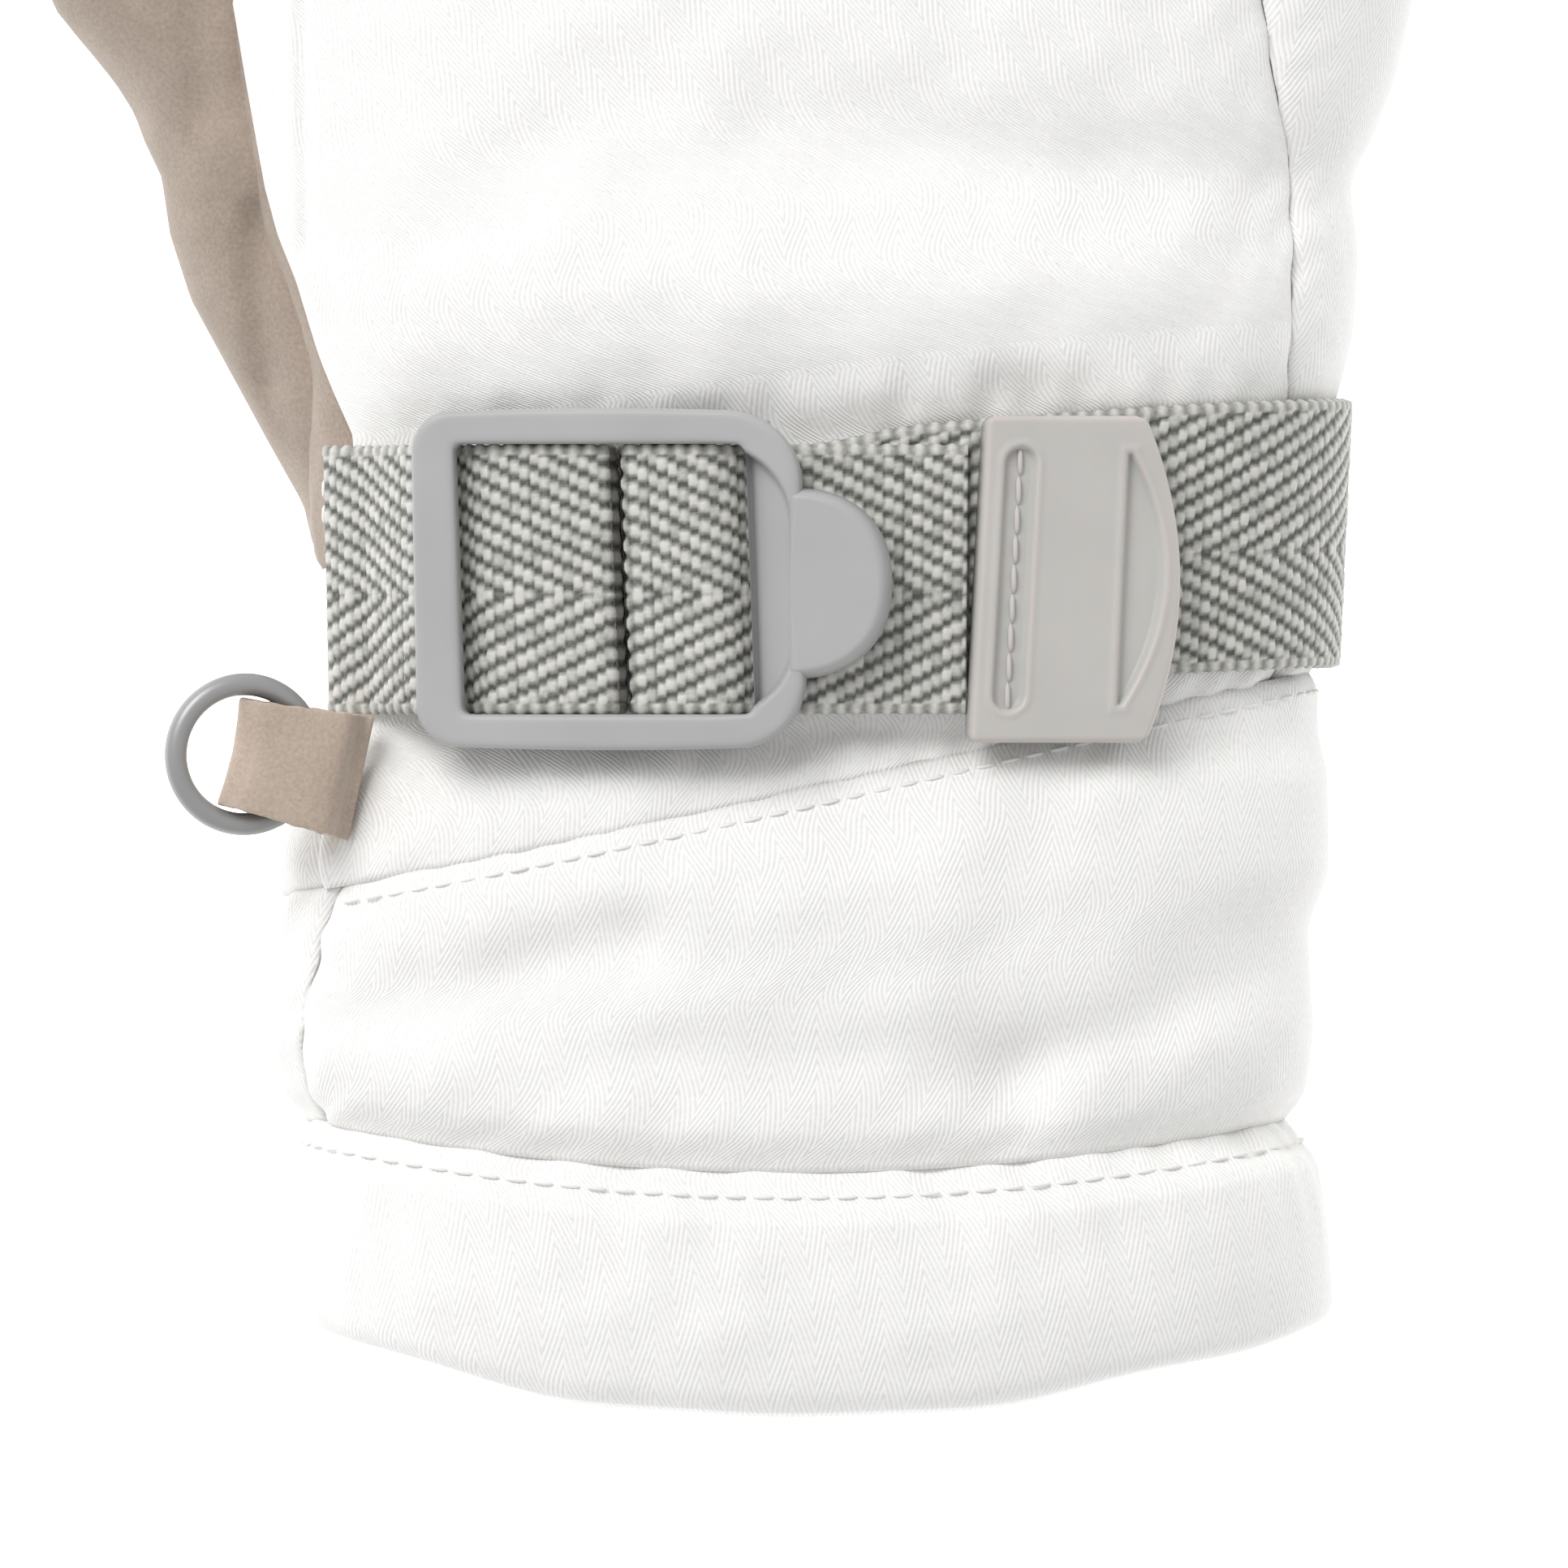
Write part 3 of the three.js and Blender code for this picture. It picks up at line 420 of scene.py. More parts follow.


# Webbing: the weave's height, which the mesh holds for each point, picks the colour, with fine noise added.
# This paints shade, near black in the grooves between yarns, and paints light on the raised yarns
def webbingMaterial():
    look = {
        "roughness": 0.5, "specular": 0.5, "fineScale": 2200, "fineShare": 0.5, "bump": 0.3,
        "bumpDepth": 0.15, "deep": (0.075, 0.08, 0.07), "middle": (0.31, 0.31, 0.285),
        "high": (0.63, 0.62, 0.585),
    }
    material, nodes, links, shader = newMaterial("light grey webbing", look)
    relief = nodes.new("ShaderNodeAttribute")
    relief.attribute_name = "relief"
    coords = nodes.new("ShaderNodeTexCoord")
    fine = noiseNode(nodes, links, coords.outputs["Object"], look["fineScale"], 3.0)
    centred = mathNode(nodes, links, "SUBTRACT", fine, 0.5)
    grain = mathNode(nodes, links, "MULTIPLY", centred, look["fineShare"])
    shade = mathNode(nodes, links, "ADD", relief.outputs["Fac"], grain)
    # Painted shade in the grooves and painted light on the yarn tops
    stops = [(0.08, look["deep"]), (0.42, look["middle"]), (0.88, look["high"])]
    links.new(rampNode(nodes, links, shade, stops), shader.inputs["Base Color"])
    bumpInto(nodes, links, shader, fine, look["bump"], look["bumpDepth"])
    return material


# Plastic, rubber, paint and thread: one colour with slow clouds of a darker one, and a fine grain
def mouldedMaterial(name, colour, roughness, grain):
    look = {"roughness": roughness, "specular": 0.4, "grainScale": 1500, "grainDepth": 0.05,
            "cloudScale": 90, "darker": 0.93, "darkTo": 0.3, "lightFrom": 0.7}
    material, nodes, links, shader = newMaterial(name, look)
    coords = nodes.new("ShaderNodeTexCoord")
    fine = noiseNode(nodes, links, coords.outputs["Object"], look["grainScale"], 2.0)
    cloud = noiseNode(nodes, links, coords.outputs["Object"], look["cloudScale"], 2.0)
    dark = tuple(value * look["darker"] for value in colour)
    stops = [(look["darkTo"], dark), (look["lightFrom"], colour)]
    links.new(rampNode(nodes, links, cloud, stops), shader.inputs["Base Color"])
    bumpInto(nodes, links, shader, fine, grain, look["grainDepth"])
    return material, shader


whiteCloth = whiteClothMaterial()
taupeSuede = suedeMaterial("taupe suede", (0.42, 0.345, 0.29), (0.29, 0.235, 0.19))
# The loop's suede is a lighter copy of the taupe suede: painted light, making up for the shade on the loop
loopSuedePaintedLight = suedeMaterial("taupe suede of the loop", (0.56, 0.46, 0.38), (0.40, 0.32, 0.26))
greyWebbing = webbingMaterial()
bucklePlastic, _ = mouldedMaterial("grey moulded plastic", (0.43, 0.43, 0.43), 0.42, 0.15)
tabRubber, rubberShader = mouldedMaterial("warm grey rubber", (0.56, 0.545, 0.52), 0.36, 0.1)
rubberShader.inputs["Subsurface Weight"].default_value = 0.25
rubberShader.inputs["Subsurface Scale"].default_value = 0.002
ringPaint, ringShader = mouldedMaterial("grey painted metal", (0.36, 0.36, 0.36), 0.38, 0.2)
ringShader.inputs["Metallic"].default_value = 0.35
threadWhite, _ = mouldedMaterial("white thread", (0.88, 0.875, 0.855), 0.8, 0.2)
threadGrey, _ = mouldedMaterial("grey thread", (0.62, 0.585, 0.57), 0.8, 0.2)
print("materials ready")

# Panels of the hand and cuff. Near a sewn edge the cloth dives by pull and puckers; a raised edge stands
# proud and ends in a crease
seamLook = {"pull": 1.0, "reach": 1.7, "pucker": 0.28, "puckerPitch": 4.6, "puckerReach": 6.0,
            "proud": 0.7, "proudReach": 3.0, "crease": 0.9, "creaseReach": 0.5}
hemSeam = -glove["cuffLength"] + glove["hemBand"]
sideSeamPlaces = {
    "y": [-12, 14.8, 23.7, 30.8, 40.8, 52.3, 97],
    "x": [43.0, 43.1, 43.7, 43.9, 43.4, 41.4, 36.5],
}
thumbSeamPlaces = {
    "y": [-31, -16, -3, 5, 11.2, 15.1, 19.5, 26.1, 30.6, 35, 45.2, 52.3, 97],
    "x": [-49, -46.8, -45.6, -45.2, -45.2, -46.7, -48.3, -50.3, -52.1, -53.3, -55.2, -56.4, -50],
}
panelEdges = {"palm": -38, "gusset": 164, "gussetTurn": -14, "gussetUnder": 216, "palmUnder": 322}
suedeFrom = -0.6  # where the wrist's white underside gives way to the suede


# A straight edge or end: where it starts, and how much it moves on over the panel
def straight(start, change=0.0):
    def line(share):
        return start + change * share

    return line


# The slanting seam under the strap: a straight line of the floor's plan, met at the shell's own x
def slantSeam(degrees):
    middle, half, _, _ = sectionAt(np.full(np.shape(degrees), glove["seamMiddle"]))
    across, _ = superellipse(degrees, glove["roundness"])
    return glove["seamMiddle"] + glove["seamRise"] * (middle + half * across)


# Degrees on the thumb side at which the shell passes over x, from the section at v
def thumbDegrees(v, x):
    middle, half, _, _ = sectionAt(v)
    share = np.clip((middle - x) / half, 0, 0.995)
    return 180 - np.degrees(np.arccos(share ** (glove["roundness"] / 2)))


# The thumb side's seam: its x along the glove, turned into degrees
def thumbSeam(v):
    return thumbDegrees(v, np.interp(v, thumbSeamPlaces["y"], thumbSeamPlaces["x"]))


# The thumb side's seam as the edge of a panel that goes from low to high
def thumbEdge(low, high):
    def edge(share):
        return thumbSeam(low + (high - low) * share)

    return edge


# Degrees at which the shell passes over the side seam's x, from the section at that place
def sideSeam(share):
    low, high = sideSeamPlaces["y"][0], sideSeamPlaces["y"][-1]
    v = low + (high - low) * np.asarray(share)
    middle, half, _, _ = sectionAt(v)
    across = (np.interp(v, sideSeamPlaces["y"], sideSeamPlaces["x"]) - middle) / half
    return np.degrees(np.arccos(np.clip(across, 0, 0.995) ** (glove["roundness"] / 2)))


# A panel between two edges round and two ends along: each sewn edge's dive and pucker fade out with the
# exponential of the way from it. The cloth's own lengths are summed up for the weave
def panelGrid(panel):
    fromEdge, toEdge = panel["edges"]
    start, end = panel["ends"]
    columns, rows = panel["grid"]
    i, j = overGrid(np.linspace(0, 1, rows), np.linspace(0, 1, columns))
    low, high = fromEdge(i), toEdge(i)
    rough = low + (high - low) * j
    v = start(rough) + glove["gap"] / 2 + (end(rough) - start(rough) - glove["gap"]) * i
    flat = shellPoint(rough, v, 0.0, False)
    around = lengthAcross(flat)
    inset = np.zeros_like(v)
    wave = 0.5 + 0.5 * softNoise(around, v, seamLook["puckerPitch"], panel["seed"], 5)
    sides = {"start": v - start(rough), "end": end(rough) - v}
    sides.update({"from": around, "to": around[:, -1:] - around})
    for side, away in sides.items():
        if side in panel["raised"]:
            inset = inset - seamLook["proud"] * np.exp(-((away / seamLook["proudReach"]) ** 2))
            inset = inset + seamLook["crease"] * np.exp(-((away / seamLook["creaseReach"]) ** 2))
            continue
        inset = inset + seamLook["pull"] * np.exp(-away / seamLook["reach"])
        inset = inset + seamLook["pucker"] * wave * np.exp(-away / seamLook["puckerReach"])
    middleColumn = columns // 2
    fromMiddle = around - around[:, middleColumn : middleColumn + 1]
    uv = np.stack([fromMiddle + flat[:, middleColumn, 0][:, None], v], axis=-1)
    return shellPoint(rough, v, inset), uv


# One panel with its wall, its faces turned away from the middle of the glove
def addPanel(panel):
    points, uv = panelGrid(panel)
    mesh = gridMesh(panel["name"], points, uv)
    faceOut(mesh, glove["insideX"], glove["insideZ"])
    piece = place(panel["name"], mesh, panel["material"], [panel["node"]])
    return thicken(piece, glove["wall"])


gussetEdge = straight(panelEdges["gusset"], panelEdges["gussetTurn"])
handEnd = straight(glove["handLength"])
hemLine = straight(hemSeam)
suedeLine = straight(suedeFrom)
seamLow, seamHigh = thumbSeamPlaces["y"][0], thumbSeamPlaces["y"][-1]
white = {"material": whiteCloth, "slot": "white_fabric", "raised": ()}
suede = {"material": taupeSuede, "slot": "suede", "raised": ()}
panels = [
    {**white, "name": "hand_back", "node": "hand_back", "fill": 0.6, "seed": 11, "grid": (170, 170),
     "edges": (sideSeam, thumbEdge(seamLow, seamHigh)), "ends": (slantSeam, handEnd), "raised": ("to",)},
    {**white, "name": "outer_side_panel", "node": "outer_side_panel", "fill": 0.6, "seed": 12,
     "grid": (50, 150), "edges": (straight(panelEdges["palm"]), sideSeam), "ends": (slantSeam, handEnd)},
    {**suede, "name": "hand_palm", "node": "hand_palm", "fill": 0.5, "seed": 13, "grid": (90, 120),
     "edges": (thumbEdge(suedeFrom, seamHigh), straight(panelEdges["palmUnder"])),
     "ends": (suedeLine, handEnd)},
    {**white, "name": "wrist_underside", "node": "hand_palm", "fill": 0.5, "seed": 16, "grid": (90, 36),
     "edges": (thumbEdge(seamLow, suedeFrom), straight(panelEdges["palmUnder"])),
     "ends": (slantSeam, suedeLine)},
    {**white, "name": "gauntlet", "node": "gauntlet", "fill": 0.6, "seed": 14, "grid": (280, 64),
     "edges": (straight(panelEdges["gussetUnder"] - 360), gussetEdge), "ends": (hemLine, slantSeam)},
    {**white, "name": "cuff_gusset", "node": "cuff_gusset", "fill": 0.5, "seed": 15, "grid": (44, 64),
     "edges": (gussetEdge, straight(panelEdges["gussetUnder"])), "ends": (hemLine, slantSeam)},
]
for panel in panels:
    addPanel(panel)
print("panels ready")

# The hem: its edge rolls in by roll, and a groove holds its stitches
hem = {"rows": 50, "columns": 320, "roll": 2.4, "dive": 1.3, "diveReach": 1.2, "pucker": 0.55,
       "puckerPitch": 5.2, "puckerReach": 7.0, "puckerStretch": 0.4, "puckerSeed": 21, "fill": 0.5,
       "stitchGroove": 0.22, "stitchDown": 2.1, "edgeWave": 0.4, "edgeWaveLength": 26,
       "edgeWaveReach": 7, "edgeWaveSeed": 71}


# The hem is a ring: a quarter circle rolls its edge in, and its upper edge dives into the hem seam
def addHem():
    aroundDegrees = np.arange(hem["columns"]) * 360 / hem["columns"]
    share, degrees = overGrid(np.linspace(0, 1, hem["rows"]), aroundDegrees)
    v = -glove["cuffLength"] + (glove["hemBand"] - glove["gap"] / 2) * share
    toHem = v + glove["cuffLength"]
    toSeam = hemSeam - v
    around = lengthAcross(shellPoint(degrees, v, 0.0, False))
    stretched = v * hem["puckerStretch"]
    wave = 0.5 + 0.5 * softNoise(around, stretched, hem["puckerPitch"], hem["puckerSeed"], 5)
    inset = hem["dive"] * np.exp(-toSeam / hem["diveReach"])
    inset = inset + hem["pucker"] * wave * np.exp(-toSeam / hem["puckerReach"])
    inset = inset + hem["roll"] * (1 - np.sqrt(1 - np.clip(1 - toHem / hem["roll"], 0, 1) ** 2))
    inset = inset + hem["stitchGroove"] * np.exp(-(((toSeam - hem["stitchDown"]) / 0.5) ** 2))
    points = shellPoint(degrees, v, inset)
    edgeWave = hem["edgeWave"] * softNoise(around, 0 * v, hem["edgeWaveLength"], hem["edgeWaveSeed"])
    points[..., 1] += edgeWave * np.exp(-toHem / hem["edgeWaveReach"])
    mesh = gridMesh("hem_band", points, np.stack([around, v], axis=-1), ring=True)
    faceOut(mesh, glove["insideX"], glove["insideZ"])
    piece = place("hem_band", mesh, whiteCloth, ["hem_band"])
    thicken(piece, glove["wall"])


addHem()

# Thumb: a tube along a bent line, its round end closed
thumb = {"rootX": -30.0, "rootY": 2.0, "across": 60.0, "along": 96.0, "rootWidth": 31.0, "width": 27.0,
         "height": 26.0, "tipRound": 13.0, "startShare": 0.03, "wall": 2.4, "roundness": 2.3,
         "bendAcross": 0.37, "bendAlong": 0.4, "longer": 1.01, "rows": 120, "columns": 96,
         "outlineFrom": (-4, 2), "outlineTo": (51, 62), "mostMove": 6, "fill": 0.6,
         "waveHigh": 0.2, "waveLength": 14, "waveSeed": 31}
thumbFolds = [
    {"a": (-55.2, 33), "b": (-52.6, 17), "depth": 1.7, "spread": 1.5},
    {"a": (-52.6, 17), "b": (-50.2, 6), "depth": 1.5, "spread": 1.3},
    {"a": (-61.5, 53), "b": (-63.4, 41), "depth": 0.8, "spread": 1.8},
    {"a": (-66, 30), "b": (-58, 24), "depth": 0.5, "spread": 2.0},
    {"a": (-80, 72), "b": (-68, 80), "depth": 0.9, "spread": 2.2},
]

# Left outline of the thumb near the wrist, seen from above: y and x in millimetres
thumbOutline = {
    "y": [0.4, 5.5, 11.0, 17.8, 24.8, 31.0, 36.4, 39.8, 42.5, 45.2, 47.7, 50.2, 52.3],
    "x": [-49.0, -50.2, -53.3, -57.0, -60.8, -62.8, -63.6, -65.2, -66.2, -67.9, -69.9, -72.0, -73.6],
}


# Moves the left side of the thumb onto its outline: a point's move is the outline less the thumb's own
# leftmost place at that y, and fades out towards its right side and beyond the outline's ends
def toOutline(points, degrees):
    spot = np.argmin(points[..., 0], axis=1)
    own = points[np.arange(len(points)), spot]
    order = np.argsort(own[:, 1])
    y = points[..., 1]
    wanted = np.interp(y, thumbOutline["y"], thumbOutline["x"]) - np.interp(y, own[order, 1], own[order, 0])
    inside = smoothStep(y, *thumb["outlineFrom"]) * (1 - smoothStep(y, *thumb["outlineTo"]))
    weight = 0.5 - 0.5 * superellipse(degrees, thumb["roundness"])[0]
    moved = points.copy()
    moved[..., 0] += np.clip(wanted, -thumb["mostMove"], thumb["mostMove"]) * inside * weight
    return moved


# The middle line is a parabola through three points; the section is a superellipse, flat on the floor
def thumbPoint(degrees, s):
    start = np.array([thumb["rootX"], thumb["rootY"]])
    bend = start + np.array([-thumb["bendAcross"] * thumb["across"], thumb["bendAlong"] * thumb["along"]])
    end = start + np.array([-thumb["across"], thumb["along"]])
    s = np.asarray(s)[..., None]
    middle = start * (1 - s) ** 2 + 2 * bend * s * (1 - s) + end * s**2
    direction = 2 * (bend - start) * (1 - s) + 2 * (end - bend) * s
    direction = direction / np.linalg.norm(direction, axis=-1, keepdims=True)
    s = s[..., 0]
    reach = thumb["longer"] * math.hypot(thumb["across"], thumb["along"])
    fromTip = np.clip(reach * (1 - s) / thumb["tipRound"], 0, 1)
    shrink = np.sqrt(1 - (1 - fromTip) ** 2)
    width = thumb["rootWidth"] + (thumb["width"] - thumb["rootWidth"]) * np.minimum(1, 2 * s)
    across, up = superellipse(degrees, thumb["roundness"])
    half = width / 2 * shrink
    x = middle[..., 0] + direction[..., 1] * across * half
    y = middle[..., 1] - direction[..., 0] * across * half
    axis = thumb["height"] * glove["axisShare"]
    depth = np.where(up >= 0, thumb["height"] - axis, axis + glove["pressedFlat"] / 2)
    rise = depth * up * shrink
    wave = thumb["waveHigh"] * softNoise(x, y, thumb["waveLength"], thumb["waveSeed"])
    fold = foldDepth(x, y, thumbFolds) + wave
    z = np.maximum(0, axis + rise - fold * np.clip(up, 0, 1) * shrink)
    return np.stack([x, y, z], axis=-1)


# The thumb's tube, with rows closer together towards its tip
def addThumb():
    spread = np.sin(np.linspace(thumb["startShare"], 0.995, thumb["rows"]) * math.pi / 2)
    s, degrees = overGrid(spread, np.arange(thumb["columns"]) * 360 / thumb["columns"])
    points = toOutline(thumbPoint(degrees, s), degrees)
    mesh = closedOut(gridMesh("thumb", points, ring=True, endCap=True))
    thicken(place("thumb", mesh, taupeSuede, ["thumb"]), thumb["wall"])


addThumb()

# Fingers: square at the root, round above, backs in white cloth and undersides in suede
fingers = {
    "longest": 86.0, "height": 28.0, "tipHeight": 23.0, "arch": 4.0, "archEnd": 0.86, "tipRound": 13.0,
    "wall": 2.2, "rootShare": 0.24, "rootRoundness": 7, "roundness": 2.3, "seamPull": 0.8, "seamReach": 1.3,
    "rootPull": 0.7, "rootReach": 1.6, "rows": 72, "backColumns": 56, "undersideColumns": 36,
    "backFrom": -14, "backTo": 194, "fill": 0.6, "insideZ": 15, "waveHigh": 0.25, "waveLength": 9,
    "waveSeed": 41,
}
fingerCreases = [{"at": 0.36, "depth": 0.9, "spread": 0.022}, {"at": 0.64, "depth": 0.8, "spread": 0.02}]
fingerRows = [
    {"name": "index_finger", "from": 0.0, "to": 0.255, "width": 0.245, "reach": 0.89, "splay": -5},
    {"name": "middle_finger", "from": 0.255, "to": 0.51, "width": 0.245, "reach": 1.0, "splay": -1},
    {"name": "ring_finger", "from": 0.51, "to": 0.76, "width": 0.24, "reach": 0.93, "splay": 3},
    {"name": "little_finger", "from": 0.76, "to": 1.0, "width": 0.23, "reach": 0.73, "splay": 8},
]


# The root follows the open end of the hand and the finger turns into its own round section above it
def fingerPoint(finger, degrees, s, inset):
    middleX, halfX, tall, endAxis = (float(value) for value in sectionAt(np.array(glove["handLength"])))
    grown = smoothStep(s, 0, fingers["rootShare"])
    rootPower, power = fingers["rootRoundness"], fingers["roundness"]
    across, up = superellipse(degrees, rootPower + (power - rootPower) * grown)
    rootLeft = middleX - halfX + finger["from"] * 2 * halfX
    rootRight = middleX - halfX + finger["to"] * 2 * halfX
    rootHalf = (rootRight - rootLeft - glove["gap"]) / 2
    reach = finger["reach"] * fingers["longest"]
    fromTip = np.clip(reach * (1 - s) / fingers["tipRound"], 0, 1)
    shrink = np.sqrt(1 - (1 - fromTip) ** 2)
    half = (rootHalf + (finger["width"] * halfX - rootHalf) * grown - inset) * shrink
    middle = (rootLeft + rootRight) / 2
    rootX = middle + across * (rootHalf - inset)
    rootAcross = np.clip((rootX - middleX) / halfX, -1, 1)
    rootUp = (1 - np.abs(rootAcross) ** glove["roundness"]) ** (1 / glove["roundness"])
    rootTop = endAxis + (tall - endAxis) * rootUp
    rootBottom = np.maximum(0, endAxis - (endAxis + glove["pressedFlat"]) * rootUp)
    lift = fingers["arch"] * np.sin(math.pi * np.minimum(1, s / fingers["archEnd"])) * grown
    ownTop = fingers["height"] + (fingers["tipHeight"] - fingers["height"]) * s + lift
    crease = sum(one["depth"] * np.exp(-(((s - one["at"]) / one["spread"]) ** 2)) for one in fingerCreases)
    ownTop = ownTop - crease
    top = rootTop + (ownTop - rootTop) * grown - inset
    bottom = rootBottom + (lift - rootBottom) * grown + inset
    axis = endAxis + (lift + fingers["height"] * glove["axisShare"] - endAxis) * grown
    z = np.where(up >= 0, axis + (top - axis) * up * shrink, axis + (axis - bottom) * up * shrink)
    away = s * (reach - inset)
    rootEdge = bentAlong(np.full(np.shape(rootAcross), glove["handLength"]), rootAcross)
    middleEdge = bentAlong(np.array(glove["handLength"]), (middle - middleX) / halfX)
    x = middle + across * half + math.tan(math.radians(finger["splay"])) * away * grown
    y = rootEdge + (middleEdge - rootEdge) * grown + away
    wave = fingers["waveHigh"] * softNoise(x, y, fingers["waveLength"], fingers["waveSeed"])
    z = z - wave * np.clip(up, 0, 1) * shrink
    return np.stack([x, y, np.maximum(z, 0.05)], axis=-1)


# One finger as two strips, its back and its underside, which dive to the seams between them
def addFinger(finger):
    middleX = float(fingerPoint(finger, np.array([90.0]), np.array([0.5]), 0.0)[0, 0])
    spread = np.sin(np.linspace(0, 0.995, fingers["rows"]) * math.pi / 2)
    backFrom, backTo = fingers["backFrom"], fingers["backTo"]
    for part, low, high, columns, material, slotName in (
        ("back", backFrom, backTo, fingers["backColumns"], whiteCloth, "white_fabric"),
        ("underside", backTo, backFrom + 360, fingers["undersideColumns"], taupeSuede, "suede"),
    ):
        s, degrees = overGrid(spread, np.linspace(low, high, columns))
        flat = fingerPoint(finger, degrees, s, 0.0)
        around = lengthAcross(flat)
        toEdge = np.minimum(around, around[:, -1:] - around)
        inset = fingers["seamPull"] * np.exp(-toEdge / fingers["seamReach"])
        inset = inset + fingers["rootPull"] * np.exp(-s * fingers["longest"] / fingers["rootReach"])
        points = fingerPoint(finger, degrees, s, inset)
        mesh = gridMesh(f"{finger['name']}_{part}", points, np.stack([around, flat[..., 1]], axis=-1))
        faceOut(mesh, middleX, fingers["insideZ"])
        piece = place(mesh.name, mesh, material, [finger["name"]])
        thicken(piece, fingers["wall"])


for finger in fingerRows:
    addFinger(finger)
print("fingers and thumb ready")
# Webbing strap and buckle, at the same places as in the solids. yarn is the pitch of the columns along
# the strap, float the pitch of the chevron's lines across it, and x is across the glove
strap = {
    "width": 25.0, "thickness": 1.3, "clothGap": 0.6, "gap": 0.3, "middle": -1.8, "leftEnd": 157.0,
    "rightEnd": -24.0, "yarn": 0.92, "float": 1.93, "slope": 0.54, "relief": 0.34, "apex": -1.5,
    "loopPitch": 1.5, "loopReach": 0.18, "selvedge": 1.0, "edgeRound": 0.7, "samples": 98, "step": 0.26,
    "riseAt": [-3, 6, 14, 32, 48], "rise": [0, 1.7, 2.5, 3.8, 4.6],
}

# The weave's relief, from 0 in its grooves to 1 on its yarns; the webbing's colour follows it as painted
# shade in the grooves
weave = {"floatMiddle": 0.66, "floatWave": 0.72, "floatLeast": 0.12, "ridgeLeast": 0.35,
         "uneven": 0.14, "unevenSeed": 61, "loopLow": 0.35, "loopHigh": 0.5, "inside": 0.12,
         "edgeThin": 0.25, "share": 0.9, "lean": -1}
buckle = {
    "x": -20.7, "width": 36.0, "height": 31.0, "frame": 3.4, "openLeft": -13.8, "openRight": 13.5,
    "barTall": 2.0, "bars": ((-9.5, -1.2), (3.4, 9.6)), "foldBack": 1.5, "tabReach": 8.7,
    "tabHeight": 17.0, "tabRoundness": 2.25, "skew": 0.042, "skewReach": 20, "bow": 0.45,
    "innerCorners": (1.0, 0.8, 0.8, 1.0), "outerCorners": (6.5, 3.6, 3.6, 6.5), "rightOver": 0.5,
    "rimRight": 17.7, "rimRound": 7.5, "sunk": 0.8, "slope": 2.2, "slopeWide": 4.2, "slopeFrom": (8.0, 9.0),
}
endTab = {"x": 21.9, "length": 19.2, "width": 30.5, "thick": 3.2, "bulge": 3.26}

lowerLayer = strap["clothGap"] + strap["thickness"] / 2
upperLayer = lowerLayer + strap["thickness"] + strap["gap"]
frameBottom = upperLayer + strap["thickness"] / 2 + strap["gap"]
barBottom = lowerLayer + strap["thickness"] / 2 + strap["gap"]
overBar = barBottom + buckle["barTall"] + strap["gap"] + strap["thickness"] / 2
besideBar = strap["gap"] + strap["thickness"] / 2


# The glove's slope across, from its heights on both sides of x
def tiltAt(x, reach=6):
    return math.atan2(float(backHeight(x + reach, 0) - backHeight(x - reach, 0)), 2 * reach)


buckleBase = float(backHeight(buckle["x"], 0))
buckleTilt = tiltAt(buckle["x"])


# A strap's place in the buckle's own frame, turned by its tilt, the same at both of the strap's edges
def inBuckle(across, height):
    x = buckle["x"] + across * math.cos(buckleTilt) - height * math.sin(buckleTilt)
    z = buckleBase + across * math.sin(buckleTilt) + height * math.cos(buckleTilt)
    return (x, z, x, z, 0.0)


# A strap's place on the glove: the shell's point at each edge of the strap, moved out by height along
# the normal there
def onGlove(degrees, height, shift=0.0):
    edges = []
    for side in (-1, 1):
        v = np.array(strap["middle"] + shift + side * strap["width"] / 2)
        point, before, after = (shellPoint(np.array(degrees + turn), v, 0.0, False) for turn in (0, -1, 1))
        along = (after - before) / np.linalg.norm(after - before)
        edges += [float(point[0] + along[2] * height), float(point[2] - along[0] * height)]
    return (*edges, shift)


# Degrees at which the shell passes over x on the back, from the middle section
def degreesOver(x):
    middle, half, _, _ = (float(value) for value in sectionAt(np.array(0.0)))
    share = abs((x - middle) / half) ** (glove["roundness"] / 2)
    degrees = math.degrees(math.acos(share))
    return 180 - degrees if x < middle else degrees


# A smooth line through the places by arc length, from Catmull-Rom pieces, with even steps
def smoothPlaces(places, step):
    p = np.array(places)
    padded = np.concatenate([2 * p[:1] - p[1:2], p, 2 * p[-1:] - p[-2:-1]])
    pieces = []
    u = np.linspace(0, 1, 24, endpoint=False)[:, None]
    for k in range(len(p) - 1):
        a, b, c, d = padded[k : k + 4]
        square = (2 * a - 5 * b + 4 * c - d) * u**2
        cube = (3 * b - a - 3 * c + d) * u**3
        pieces.append(0.5 * (2 * b + (c - a) * u + square + cube))
    fine = np.concatenate(pieces + [p[-1:]])
    length = np.concatenate([[0], np.cumsum(np.hypot(np.diff(fine[:, 0]), np.diff(fine[:, 1])))])
    count = int(length[-1] / step) + 1
    even = np.linspace(0, length[-1], count)
    return np.stack([np.interp(even, length, fine[:, k]) for k in range(5)], axis=-1), even


# The fastened buckle sits a little skewed: x moves by a share of y, and the move fades out beside it
def skewed(points):
    moved = points.copy()
    near = np.exp(-(((points[..., 0] - buckle["x"]) / buckle["skewReach"]) ** 4))
    moved[..., 0] -= buckle["skew"] * (points[..., 1] - strap["middle"]) * near
    return moved


# The way that a line of places goes at each of them, one long
def wayAlong(places):
    way = np.gradient(places, axis=0)
    return way / np.linalg.norm(way, axis=1, keepdims=True)


